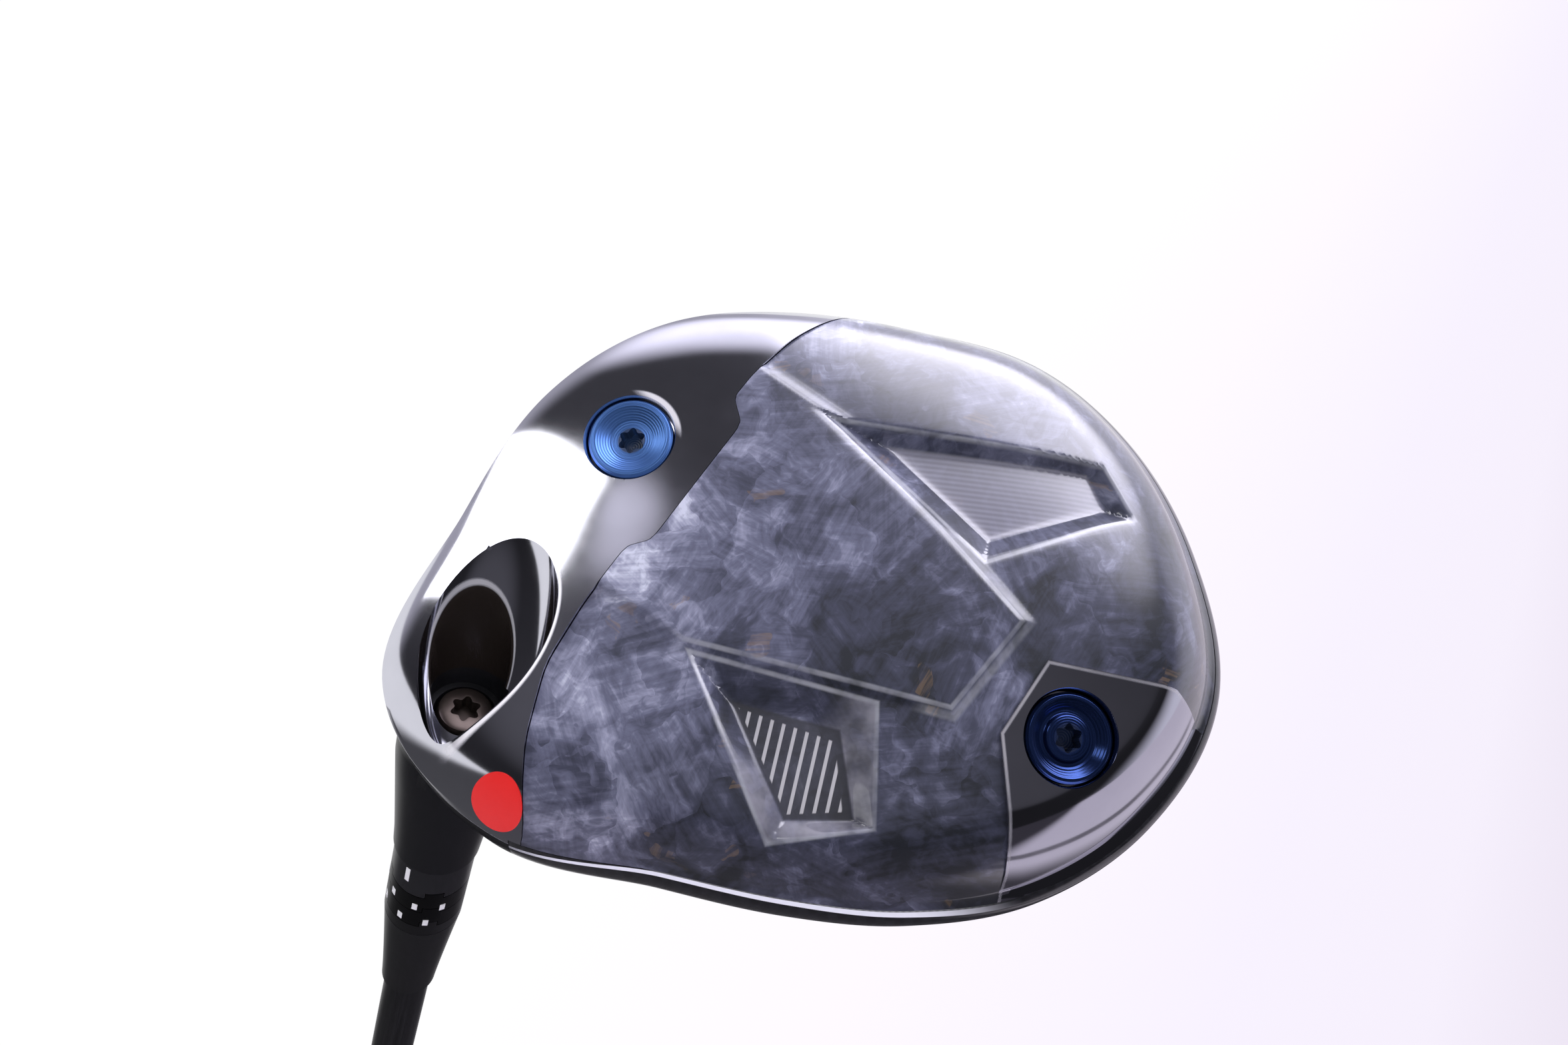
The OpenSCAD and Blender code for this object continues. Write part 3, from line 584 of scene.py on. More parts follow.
def painted_front(name, tint, paint):
    """Polished titanium with painted shade in the wrench hole, painted highlights on the lips, and black
    paint above the sole's edge.
    """
    f = Finish(name)
    p = f.spots(IN_HEAD)
    x, y, z = f.apart(p)
    ahead = along_axis(x, y)
    painted = (z - (ahead * (LEAD_HEIGHT + 1.5) + (1 - ahead) * (SKIRT_HEEL + 2.5))).over(-0.15, 0.15)
    # The wrench hole: 1 on its wall, more outside it; its wall gets painted shade, near black
    nx, ny, nz = f.apart(f.spots(IN_HEAD @ NECK_IN_HEAD))
    share = (nz / MOUTH_END).most(0.0).least(1.0)
    dx, dy = nx - MOUTH[0] * (1 - share), ny - MOUTH[1] * (1 - share)
    c, s = math.cos(MOUTH_TURN), math.sin(MOUTH_TURN)
    half_w, half_l = (r - (r - MOUTH_END_R) * share for r in MOUTH_R)
    wide, long = (dx * c + dy * s) / half_w, (dy * c - dx * s) / half_l
    out = (wide * wide + long * long) ** 0.5
    hole_shade = out.over(1.035, 1.01) * nz.over(TUBE_BOTTOM + 1, TUBE_BOTTOM)
    # Painted highlights on the lips round the scoop, the wrench hole and the front weight's port
    ex, ey, ez = f.apart(f.times(f.spots(IN_HEAD @ SCOOP_IN_HEAD), tuple(1 / r for r in SCOOP_R)))
    dish = (ex * ex + ey * ey + ez * ez) ** 0.5
    lip_highlight = dish.over(1.006, 1.014) * dish.over(1.07, 1.03) * ex.over(0.3, -0.2) * (1 - painted)
    lip_highlight = lip_highlight.most(out.over(1.015, 1.03) * out.over(1.065, 1.045) * dish.over(1.02, 1.005) * 0.4)
    px, py, _ = f.apart(f.spots(IN_HEAD @ FRONT_PORT))
    port = (px * px + py * py) ** 0.5
    lip_highlight = lip_highlight.most(port.over(6.6, 6.8) * port.over(7.9, 7.5) * (py * 0.98 - px * 0.2).over(5.0, 6.8) * 0.7)
    brushed, smudge, metal = brushed_metal(f, p, tint)
    # The lips' painted highlight is pale and not metallic
    metal = f.mixed(lip_highlight, metal, (0.82, 0.8, 0.82))
    bare = (1 - painted) * (1 - hole_shade)
    rough = brushed * 0.02 + smudge.over(0.35, 0.8) * 0.04 + 0.075
    # Painted shade: the wrench hole's wall is near black and not metallic
    colour = f.mixed(hole_shade, f.mixed(painted, metal, paint), (0.012, 0.009, 0.008))
    return f.surface(Base_Color=colour, Metallic=bare * (1 - lip_highlight),
                     Roughness=rough * bare + (1 - bare) * 0.4,
                     Coat_Weight=painted * (1 - hole_shade) * 0.15, Coat_Roughness=0.05, Specular_IOR_Level=0.12)


def chopped_tow(f, p, x, y, scale, seed, fine):
    """Bundles of chopped fibre: each patch has its own direction, streaks and tone."""
    patch = f.cells(f.moved(p, seed), scale)
    lay, depth, tone = f.apart(patch.other("Color"))
    lay = lay * FULL_TURN
    along, across = x * lay.cos() + y * lay.sin(), y * lay.cos() - x * lay.sin()
    return f.noise(f.joined(along * 0.06 * fine, across * fine, depth * 60), 1.0, 5, 0.6), tone


def forged_carbon(name):
    f = Finish(name)
    p = f.spots(IN_HEAD)
    x, y, _ = f.apart(p)
    drift = f.moved(f.noise(p, 0.07, 3, 0.6).other("Color"), (-0.5, -0.5, -0.5))
    swirl = f.moved(p, f.times(drift, (22, 22, 22)))
    broad, broad_tone = chopped_tow(f, swirl, x, y, 0.06, (0, 0, 0), 0.9)
    small, small_tone = chopped_tow(f, f.moved(p, f.times(drift, (12, 12, 12))), x, y, 0.12, (17, 5, 0), 1.7)
    wisps = f.noise(swirl, 0.075, 5, 0.62)
    veil = f.noise(f.moved(p, (40, 11, 0)), 0.03, 3, 0.5)
    smoke = (broad - 0.5) * 0.55 + (small - 0.5) * 0.22 + (wisps - 0.5) * 1.6 + (veil - 0.5) * 0.9
    smoke = smoke + (broad_tone - 0.5) * 0.16 + (small_tone - 0.5) * 0.14
    # Paler towards the front: painted light
    smoke = smoke + x * 0.005 + x.over(4, 24) * 0.12 + y * 0.001 + 0.37
    thread = (1 - abs(f.noise(f.moved(swirl, (3, 31, 0)), 0.1, 4, 0.6) - 0.5) * 2).over(0.9, 1.0)
    smoke = smoke + thread * wisps.over(0.35, 0.6) * 0.09
    colour = f.ramp(smoke, [(0.0, (0.014, 0.016, 0.022)), (0.3, (0.042, 0.045, 0.074)),
                            (0.55, (0.106, 0.111, 0.172)), (0.78, (0.24, 0.248, 0.345)),
                            (1.0, (0.5, 0.515, 0.63))])
    # A few warm chips between the dark ones
    chip = f.apart(f.cells(f.moved(swirl, (13, 5, 0)), 0.3).other("Color"))[0]
    colour = f.mixed(chip.over(0.982, 0.99) * small.over(0.4, 0.6) * 0.35, colour, (0.2, 0.125, 0.06))
    # Painted highlights on the spine's bevelled edge and the pockets' rims, pale
    patchy = f.noise(p, 0.18, 3, 0.6).over(0.3, 0.65)
    spine = depth_in(SPINE, x, y)
    heel_rim, toe_rim = depth_in(HEEL_RIM, x, y), depth_in(TOE_RIM, x, y)
    outside = heel_rim.most(toe_rim).over(0.2, -0.2)
    pale = abs(spine + 0.1).over(0.5, 0.15) * x.over(9, 4) * 0.45
    pale = pale.most(abs(spine + 1.1).over(0.9, 0.2) * x.over(-26, -29) * 0.35) * outside
    rims = abs(heel_rim).over(0.5, 0.1).most(abs(toe_rim).over(0.5, 0.1))
    pale = pale.most(rims * 0.5) * (patchy * 0.7 + 0.3)
    colour = f.mixed(pale, colour, (0.44, 0.45, 0.5))
    # The pockets' dark floors: ribs on the toe's side; on the heel's, slanting lines and pale walls of
    # painted highlight
    heel, toe = inside(HEEL_FLOOR, x, y), inside(TOE_FLOOR, x, y)
    # Painted highlight on the heel pocket's walls
    heel_wall_highlight = heel_rim.over(0.0, 0.4) * (1 - heel) * (x.over(-16, -22).most((y + x * 0.3).over(-30, -36)))
    colour = f.mixed(heel_wall_highlight * (patchy * 0.5 + 0.2), colour, (0.26, 0.255, 0.3))
    colour = f.mixed(heel * 0.75, colour, (0.03, 0.03, 0.034))
    ribs = ((x * 0.48 + y * 0.877) * (FULL_TURN / 0.8)).sin() * 0.5 + 0.5
    colour = f.mixed(toe * 0.75, colour, f.mixed(ribs, (0.17, 0.167, 0.215), (0.24, 0.235, 0.3)))
    lines = abs((x * -0.93 + y * 0.37).wrapped(1.72) - 0.86).over(0.3, 0.2)
    lines = lines * inside(HEEL_LINES, x, y, 0.12)
    colour = f.mixed(lines * 0.9, colour, (0.46, 0.45, 0.48))
    # Less lacquer on the toe's side of the spine's bevel
    lacquer = 1 - abs(spine + 0.8).over(1.1, 0.7) * y.over(0, 4) * 0.6
    return f.surface(Base_Color=colour, Roughness=0.46 - small * 0.12, Coat_Weight=lacquer,
                     Coat_Roughness=0.08, Coat_IOR=1.65, Normal=f.bump(small * 0.12 + toe * ribs * 0.5, 0.1))


def gloss_black(name, tint, weave=0.0, coat=0.1, lower_edge_highlight=False):
    """Black gloss, on the crown over a woven sheet with a painted highlight along the lower edge from heel
    to rear.
    """
    f = Finish(name)
    p = f.spots(IN_HEAD)
    x, y, z = f.apart(p)
    u, v = (x + y) * 1.1, (x - y) * 1.1
    twill = ((u * 1.5).sin() * (v * 1.5).sin()).over(-0.3, 0.3)
    haze = f.noise(p, 0.12, 4, 0.6)
    colour = f.mixed(twill * weave + haze * 0.12, tint, tuple(min(1, t * 2.6 + 0.004) for t in tint))
    if lower_edge_highlight:
        # Painted highlight: a pale line along the crown's lower edge from heel to rear
        behind_middle = along_axis(x, y)
        up = z - (behind_middle * SKIRT_REAR + (1 - behind_middle) * SKIRT_HEEL + SEAM_RISE)
        edge = abs(up - 0.6).over(0.55, 0.4) * y.over(-20, -32) * (x + CENTRE_BACK).over(26, 12)
        colour = f.mixed(edge, colour, (0.85, 0.86, 0.93))
    return f.surface(Base_Color=colour, Roughness=haze * 0.08 + 0.3, Coat_Weight=coat, Coat_Roughness=0.04,
                     Specular_IOR_Level=0.15)


def anodised(name, tint, pale, port, rough, metal):
    """Turned and anodised alloy, with fine rings round the weight's axis and painted shade darkening the
    socket.
    """
    f = Finish(name)
    x, y, _ = f.apart(f.spots(IN_HEAD @ port))
    r = (x * x + y * y) ** 0.5
    wobble = f.noise(f.joined(r * 3.1, 0.0, 0.0), 1.0, 4, 0.7)
    rings = (r * 17).sin() * 0.5 + wobble
    # Painted shade in the wrench socket: near black and not metallic
    socket = r.over(2.2, 1.9)
    colour = f.mixed(socket * 0.85, f.mixed(wobble.over(0.3, 0.7), tint, pale), (0.004, 0.006, 0.012))
    return f.surface(Base_Color=colour, Metallic=(1 - socket) * metal, Roughness=wobble * 0.1 + rough,
                     Normal=f.bump(rings, 0.25))


def machined(name, tint, rough, metal=1.0):
    f = Finish(name)
    x, y, z = f.apart(f.spots())
    marks = f.noise(f.joined(x * 0.3, y * 0.3, z * 6), 1.0, 3, 0.6)
    stain = f.noise(f.joined(x, y, z), 0.25, 3)
    colour = f.mixed(stain.over(0.3, 0.8), tuple(t * 0.82 for t in tint), tint)
    return f.surface(Base_Color=colour, Metallic=metal, Roughness=marks * 0.12 + rough,
                     Normal=f.bump(marks, 0.05))


def graphite(name):
    """Painted graphite tube: faint fibre under a clear gloss."""
    f = Finish(name)
    x, y, z = f.apart(f.spots())
    fibre = f.noise(f.joined(x * 1.6, y * 1.6, z * 0.02), 1.0, 4, 0.65)
    wrap = f.noise(f.joined(x * 0.1, y * 0.1, z * 0.35), 1.0, 2)
    colour = f.mixed(fibre.over(0.4, 0.75) * 0.6 + wrap * 0.2, (0.005, 0.005, 0.006), (0.018, 0.018, 0.02))
    return f.surface(Base_Color=colour, Roughness=fibre * 0.1 + 0.28, Coat_Weight=0.1, Coat_Roughness=0.05,
                     Specular_IOR_Level=0.15, Normal=f.bump(wrap, 0.03))


def grip_rubber(name):
    """Moulded rubber with rows of fine pits and crossing grooves."""
    f = Finish(name)
    x, y, z = f.apart(f.spots())
    around = f.node("ShaderNodeMath", {"operation": "ARCTAN2"}, {0: y, 1: x})
    grain = f.noise(f.joined(x, y, z), 1.4, 4, 0.65)
    u, v = around * 14 + z * 0.9, around * 14 - z * 0.9
    pits = (u.sin() * v.sin()).over(0.25, 0.7)
    dust = f.noise(f.joined(x, y, z), 0.09, 4, 0.6)
    colour = f.mixed(dust.over(0.35, 0.8) * 0.5 + grain * 0.2, (0.012, 0.012, 0.012), (0.04, 0.04, 0.041))
    return f.surface(Base_Color=colour, Roughness=0.86 - grain * 0.14,
                     Normal=f.bump(grain * 0.25 - pits, 0.7, 4e-4))


def speckled(name, tint, rough, speckle=0.3, scale=1.2):
    f = Finish(name)
    grain = f.noise(f.spots(), scale, 4, 0.6)
    colour = f.mixed(grain * speckle, tint, tuple(t * 0.6 for t in tint))
    return f.surface(Base_Color=colour, Roughness=grain * 0.1 + rough, Specular_IOR_Level=0.3,
                     Normal=f.bump(grain, 0.05))


TITANIUM = painted_front("polished_titanium", (0.68, 0.68, 0.76), (0.008, 0.008, 0.01))
HOUSING_METAL = housing_with_rim_highlight("black_chrome", (0.5, 0.5, 0.57))
FACE_METAL = machined("satin_face", (0.36, 0.36, 0.38), 0.3)
CARBON = forged_carbon("forged_carbon")
CROWN_GLOSS = gloss_black("crown_gloss", (0.006, 0.006, 0.008), 0.35, 1.0, True)
LIGHT_BLUE = anodised("light_blue_anodised", (0.045, 0.115, 0.33), (0.09, 0.2, 0.5),
                      FRONT_PORT, 0.28, 0.8)
NAVY = anodised("navy_anodised", (0.014, 0.028, 0.1), (0.03, 0.06, 0.2), REAR_PORT, 0.14, 0.9)
# The steel's dark brown is painted shade, as of the screw deep in the wrench hole
SHADE_DARKENED_STEEL = machined("shade_darkened_steel", (0.085, 0.066, 0.058), 0.25, 0.8)
DARK_NECK = gloss_black("neck_coating", (0.012, 0.012, 0.014))
COG_METAL = machined("cog_coating", (0.03, 0.03, 0.032), 0.34)
ADAPTER_ALLOY = machined("adapter_alloy", (0.1, 0.1, 0.105), 0.3)
FERRULE_GLOSS = gloss_black("ferrule_gloss", (0.008, 0.008, 0.009))
GRAPHITE = graphite("graphite")
RUBBER = grip_rubber("grip_rubber")
CAP_RUBBER = speckled("cap_rubber", (0.014, 0.014, 0.014), 0.72)
RED_VINYL = speckled("red_vinyl", (0.78, 0.014, 0.012), 0.5, 0.15, 0.5)
MARK_WHITE = speckled("mark_white", (0.72, 0.72, 0.72), 0.5)
RETAINER = speckled("retainer_plastic", (0.75, 0.72, 0.62), 0.5)
TAPE = speckled("grip_tape_paper", (0.62, 0.52, 0.36), 0.8, 0.5, 3)


# The head's shells

def make_carbon_sole():
    obj = head_form("carbon_sole_shell", height=carbon_z, rows=(130, 14, 16), sectors=432)
    cut(obj, head_form("hollow", SHELL_WALL, height=carbon_z, rows=(72, 10, 14), sectors=216),
        ahead_of(SOLE_JOINT), slab(HOUSING[::-1], -FAR, FAR), above_seam(-BOND_GAP))
    shown(obj, "carbon_sole_shell", "head", CARBON, IN_HEAD, ["carbon_sole"], 40)


def make_crown():
    obj = head_form("crown_shell", rows=(12, 40, 60), sectors=288)
    cut(obj, head_form("hollow", SHELL_WALL), ahead_of(CROWN_JOINT))
    cut(obj, above_seam(BOND_GAP), how="INTERSECT")
    shown(obj, "crown_shell", "head", CROWN_GLOSS, IN_HEAD, ["carbon_crown"], 40)


def face_form(grow=0.0):
    """A prism ahead of the head, round all of the face's circles."""
    points = []
    for cy, cz, r in FACE_LOBES:
        points += [(cy + (r + grow) * math.cos(t), cz + (r + grow) * math.sin(t))
                   for t in np.linspace(0, 2 * math.pi, 48, False)]
    points = np.array(points)
    hull = [tuple(points[np.argmax(points @ np.array([math.cos(t), math.sin(t)]))])
            for t in np.linspace(0, 2 * math.pi, 160, False)]
    obj = slab(list(dict.fromkeys(hull)), 0, FAR)
    obj.data.transform(turn(90, "Z") @ turn(90, "X"))
    return obj


def make_front_body():
    obj = head_form("front_shell", rows=(90, 60, 40), sectors=360)
    flare = [(0, FLARE[0][1])] + FLARE + [(0, FLARE[-1][1])]
    cut(obj, turned(flare, 128, NECK_IN_HEAD), how="UNION")
    below = behind(SOLE_JOINT)
    cut(below, above_seam(BOND_GAP / 2))
    over = behind(CROWN_JOINT)
    cut(over, above_seam(-BOND_GAP / 2), how="INTERSECT")
    hollow = head_form("hollow", SHELL_WALL)
    # Walls left standing round the scoop, the weight's port and the wrench hole
    cut(hollow, scoop_form(SHELL_WALL), rod(PORT_R + 2.35, -5, 13, FRONT_PORT),
        mouth_form(TUBE_BOTTOM + 4, 8.2, 2.6))
    wrench_r, tube_r = 5.6, HOSEL_R + GLUE_GAP
    socket = turned([(0, 11), (wrench_r, 11), (wrench_r, TUBE_BOTTOM), (tube_r, TUBE_BOTTOM),
                     (tube_r, 90), (0, 90)], 100, NECK_IN_HEAD)
    cut(obj, below, over)
    cut(obj, face_form(BOND_GAP), scoop_form(), port_form(FRONT_PORT), hollow,
        mouth_form(MOUTH_END, MOUTH_END_R), socket, solver="EXACT")
    shown(obj, "front_shell", "head", TITANIUM, IN_HEAD, ["front_body"], 35)


def make_face():
    obj = head_form("face_insert", rows=(30, 70, 20), sectors=360)
    cut(obj, face_form(), how="INTERSECT")
    cut(obj, head_form("hollow", FACE_WALL))
    shown(obj, "face_insert", "head", FACE_METAL, IN_HEAD, ["face_plate"], 35)


def housing_z(x, y, skirt):
    """Height of the housing: proud of the sole, with the weight's slanting flat cut across it."""
    top, q = sole_at(x, y)
    form = top - 2.5 * (1 - np.minimum(q, 1) ** 4)
    pad = REAR_PAD_Z - (x - REAR_WEIGHT_X) * math.tan(math.radians(REAR_TILT))
    return rounded_max(form, pad, 0.25) + skirt


def make_housing():
    obj = head_form("rear_housing", height=housing_z, rows=(150, 24, 10), sectors=432)
    cut(obj, slab(HOUSING[::-1], -FAR, FAR), how="INTERSECT")
    above = head_form("hollow", HOUSING_WALL)
    cut(above, slab([(-FAR, -FAR), (FAR, -FAR), (FAR, FAR), (-FAR, FAR)], HOUSING_TOP, FAR), how="INTERSECT")
    cut(obj, above_seam(-BOND_GAP), port_form(REAR_PORT), above)
    shown(obj, "rear_housing", "head", HOUSING_METAL, IN_HEAD, ["rear_weight_housing"], 35)


make_carbon_sole()
make_crown()
make_front_body()
make_face()
make_housing()


# Weights and screws

def thread(r, low, high, pitch, height):
    """A screw thread: a small triangle wound up a shank."""
    bpy.ops.mesh.primitive_circle_add(vertices=3, fill_type="NOTHING")
    obj = bpy.context.object
    place(obj, [(r - 0.05, 0, low), (r + height, 0, low + pitch * 0.4), (r - 0.05, 0, low + pitch * 0.8)])
    turns = int((high - low) / pitch)
    apply(obj, "SCREW", screw_offset=pitch, iterations=turns, steps=32, render_steps=32,
          use_merge_vertices=True)
    return edit(obj, lambda: bpy.ops.mesh.normals_make_consistent(inside=False))


def make_weight(name, dish, port, finish):
    root, end = SHANK_R - 0.15, WEIGHT_HEAD + SHANK
    obj = turned(dish + [(WEIGHT_R, 0.4), (WEIGHT_R, WEIGHT_HEAD - 0.3), (WEIGHT_R - 0.2, WEIGHT_HEAD),
                         (root, WEIGHT_HEAD), (root, end - 0.5), (SHANK_R - 0.5, end), (0, end)], 128)
    apply(obj, "BEVEL", width=0.08, segments=2, limit_method="ANGLE", angle_limit=math.radians(25))
    cut(obj, six_lobes(2.1, -1, WEIGHT_HEAD))
    join(obj, thread(root, WEIGHT_HEAD + 0.4, end - 0.6, SHANK_PITCH, 0.15))
    shown(obj, name + "_screw", name, finish, IN_HEAD @ port @ shift(0, 0, WEIGHT_SUNK), [name])


# The weights' dished heads as radius and depth
FRONT_DISH = [(0, 1.1), (2.6, 1.1), (3.1, 1.05), (3.4, 0.98), (WEIGHT_R - 1.2, 0.06), (WEIGHT_R - 1, 0),
              (WEIGHT_R - 0.4, 0)]
REAR_DISH = [(0, 0.6), (3.0, 0.6), (3.25, 0.66), (3.4, 1.3), (3.5, 1.4), (4.1, 1.4), (4.3, 1.3),
             (WEIGHT_R - 0.9, 0.05), (WEIGHT_R - 0.8, 0), (WEIGHT_R - 0.4, 0)]
make_weight("front_weight", FRONT_DISH, FRONT_PORT, LIGHT_BLUE)
make_weight("rear_weight", REAR_DISH, REAR_PORT, NAVY)


def make_hosel_screw():
    under = SCREW_SEAT - WASHER_T
    low, end = under - SCREW_HEAD, under + SCREW_L
    rim, root = SCREW_HEAD_R, SCREW_R - 0.12
    obj = turned([(0, low), (rim - 0.9, low), (rim - 0.3, low + 0.25), (rim, low + 0.8), (rim, under - 0.2),
                  (rim - 0.2, under), (root, under), (root, end - 0.6), (SCREW_R - 0.6, end), (0, end)], 96)
    cut(obj, six_lobes(2.3, low - 1, low + 2.6))
    join(obj, thread(root, under + 6.5, end - 0.6, SCREW_PITCH, 0.12))
    shown(obj, "captive_screw", "captive_screw", SHADE_DARKENED_STEEL, ON_NECK, ["hosel_screw"])


make_hosel_screw()


# Hosel, cogs and ferrule

QUARTERS = [turn(angle, "Z") for angle in (45, 135, 225, 315)]


def notches(obj, top):
    """Cuts four notches into a ring's upper edge."""
    wide = TOOTH_W / 2 + TOOTH_GAP
    for quarter in QUARTERS:
        cut(obj, block((3.45, -wide, top - TOOTH_H - TOOTH_GAP), (12, wide, top + 3), quarter))


def teeth(obj, gaps, low, high):
    """Cuts a ring's edge back to four teeth."""
    for quarter in QUARTERS:
        cut(gaps, block((2, -TOOTH_W / 2, low), (16, TOOTH_W / 2, high), quarter))
    cut(obj, gaps)


def ring(inner, outer, low, high, edge=0.15):
    return turned([(inner, low), (outer - edge, low), (outer, low + edge), (outer, high - edge),
                   (outer - edge, high), (inner, high)], 128)


def make_hosel_tube():
    seat_top, shank_r, head_r = SCREW_SEAT + SEAT_WALL, SCREW_R + 0.35, SCREW_HEAD_R + 0.5
    obj = ring(HOSEL_BORE_R, HOSEL_R, seat_top, HOSEL_TOP)
    cut(obj, turned([(shank_r, SCREW_SEAT), (shank_r, seat_top), (HOSEL_R, seat_top), (HOSEL_R, TUBE_BOTTOM),
                     (head_r, TUBE_BOTTOM), (head_r, SCREW_SEAT)], 128), how="UNION")
    notches(obj, HOSEL_TOP)
    shown(obj, "hosel_neck", "head", DARK_NECK, ON_NECK, ["hosel_tube"])


def make_cog(name, low):
    obj = ring(ADAPTER_R + GLUE_GAP, HOSEL_R, low - TOOTH_H, low + COG_H)
    teeth(obj, rod(14, low - 3, low), low - 4, low + 1)
    notches(obj, low + COG_H)
    shown(obj, name + "_ring", "shaft_assembly", COG_METAL, ON_NECK, [name])


def make_adapter():
    low, top = ADAPTER_LOW, COGS_LOW + 2 * COG_H
    screw_r, tip_r = SCREW_R + GLUE_GAP, TIP_R + GLUE_GAP
    obj = turned([(screw_r, low), (ADAPTER_R - 0.3, low), (ADAPTER_R, low + 0.3), (ADAPTER_R, top - 2.5),
                  (HOSEL_R, top - 2.5), (HOSEL_R, top + COLLAR_H), (tip_r, top + COLLAR_H),
                  (tip_r, SHAFT_TIP), (screw_r, SHAFT_TIP)], 128)
    teeth(obj, ring(ADAPTER_R, 14, top - 5, top, 0.0), top - TOOTH_H, top + 1)
    shown(obj, "tip_sleeve", "shaft_assembly", ADAPTER_ALLOY, ON_NECK, ["tip_adapter"])


def make_ferrule():
    low, tip_r = COGS_LOW + 2 * COG_H + COLLAR_H, TIP_R + GLUE_GAP
    side = [(HOSEL_R - 0.15, low), (HOSEL_R, low + 0.2)]
    for t in np.linspace(0.05, 1, 24):
        r = FERRULE_END_R + (HOSEL_R - FERRULE_END_R) * (1 - t) ** 1.15
        side.append((r, low + FERRULE_L * t * 0.985))
    side += [(FERRULE_END_R - 0.35, low + FERRULE_L), (tip_r, low + FERRULE_L), (tip_r, low)]
    shown(turned(side, 128), "ferrule_cone", "shaft_assembly", FERRULE_GLOSS, ON_NECK, ["ferrule"])


make_hosel_tube()
make_cog("loft_cog", COGS_LOW)
make_cog("lie_cog", COGS_LOW + COG_H)
make_adapter()
make_ferrule()


def make_marks(name, body, *rows):
    """Small raised setting marks round the neck or the cogs."""
    marks = []
    for low, high, spots, wide in rows:
        for spot in spots:
            mark = block((HOSEL_R - 0.3, -wide, low), (HOSEL_R + 0.06, wide, high), turn(spot + 90, "Z"))
            marks.append(apply(mark, "BEVEL", width=0.12, segments=2))
    shown(join(*marks), name, body, MARK_WHITE, ON_NECK)


make_marks("neck_mark", "head", NECK_MARKS)
make_marks("cog_marks", "shaft_assembly", *COG_MARKS)


# Shaft and grip

def shaft_r(z):
    end = CLUB_LENGTH - SHAFT_TIP - TIP_PARALLEL
    return float(np.interp(z, [BUTT_PARALLEL, end], [BUTT_R, TIP_R]))


def make_shaft():
    top = CLUB_LENGTH - SHAFT_TIP
    heights = [CAP_T] + list(np.linspace(BUTT_PARALLEL, top - TIP_PARALLEL, 24)) + [top]
    profile = [(shaft_r(z), z) for z in heights] + [(shaft_r(z) - SHAFT_WALL, z) for z in heights[::-1]]
    shown(turned(profile, 96), "shaft_tube", "shaft_assembly", GRAPHITE, ON_SHAFT, ["shaft"])


def make_grip():
    inner = [(shaft_r(z) + 0.4, z) for z in (CAP_T, BUTT_PARALLEL, GRIP_LENGTH)]
    outer = []
    for z in np.linspace(GRIP_LENGTH - 2, CAP_T, 90):
        r = float(np.interp(z, [CAP_T, CAP_T + 12, 70, GRIP_LENGTH - 60, GRIP_LENGTH - 2],
                            [GRIP_BUTT_R, GRIP_BUTT_R, GRIP_BUTT_R - 1.5, GRIP_MOUTH_R + 0.4, GRIP_MOUTH_R]))
        outer.append((r, z))
    outer[0:0] = [(GRIP_MOUTH_R - 0.6, GRIP_LENGTH), (GRIP_MOUTH_R - 0.15, GRIP_LENGTH - 0.5)]
    for groove in (GRIP_LENGTH - 10, GRIP_LENGTH - 16, 22, 28):
        outer = [(r - 0.35 if abs(z - groove) < 1.7 else r, z) for r, z in outer]
    shown(turned(inner + outer, 96), "grip_sleeve", "shaft_assembly", RUBBER, ON_SHAFT, ["grip"])


def make_cap():
    face = [(VENT_R, CAP_T), (VENT_R, 0.25), (VENT_R + 0.25, 0), (9, 0), (9.3, 0.3), (9.9, 0.3), (10.2, 0)]
    rim = [(CAP_R - CAP_ROUND + CAP_ROUND * math.sin(t), CAP_ROUND - CAP_ROUND * math.cos(t))
           for t in np.linspace(0, math.pi / 2, 8)]
    top = [(CAP_R, CAP_T - 1.5), (CAP_R - 0.2, CAP_T - 0.9), (GRIP_BUTT_R + 0.3, CAP_T - 0.1),
           (GRIP_BUTT_R, CAP_T)]
    shown(turned(face + rim + top, 128), "butt_cap", "shaft_assembly", CAP_RUBBER, ON_SHAFT, ["grip_cap"])


make_shaft()
make_grip()
make_cap()


# Round sticker near the heel

def make_sticker():
    """A disc laid on the sole's slope and pressed on to its curve."""
    bpy.ops.mesh.primitive_circle_add(vertices=96, radius=1, fill_type="TRIFAN")
    obj = bpy.context.object
    edit(obj, lambda: bpy.ops.mesh.subdivide(number_cuts=4))
    level, slope = spots_of(obj)[:, 0] * STICKER_R[0], spots_of(obj)[:, 1] * STICKER_R[1]
    (x, y), step = STICKER, 0.01
    here, ahead, aside = (float(sole_at(*spot)[0]) for spot in ((x, y), (x + step, y), (x, y + step)))
    rise = np.array([ahead - here, aside - here]) / step
    steep = float(np.hypot(*rise))
    up = rise / steep
    flat = math.sqrt(1 + steep ** 2)
    out = np.array([up[0] * steep, up[1] * steep, -1]) / flat
    across, uphill = (-up[1], up[0], 0), (up[0] / flat, up[1] / flat, steep / flat)
    spots = np.array([x, y, here]) + np.outer(level, across) + np.outer(slope, uphill)
    for _ in range(30):
        gap = spots[:, 2] - sole_at(spots[:, 0], spots[:, 1])[0]
        spots += np.outer(gap * 0.6, out) / flat
    place(obj, spots + out * 0.05)
    apply(obj, "SOLIDIFY", thickness=0.12, offset=0)
    shown(obj, "round_sticker", "head", RED_VINYL, IN_HEAD, angle=40)


make_sticker()

# Pieces that stay as the frame has them
for node, finish in (("screw_washer", SHADE_DARKENED_STEEL), ("screw_retainer", RETAINER), ("grip_tape", TAPE)):
    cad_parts[node].data.materials.clear()
    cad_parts[node].data.materials.append(finish)


# Studio

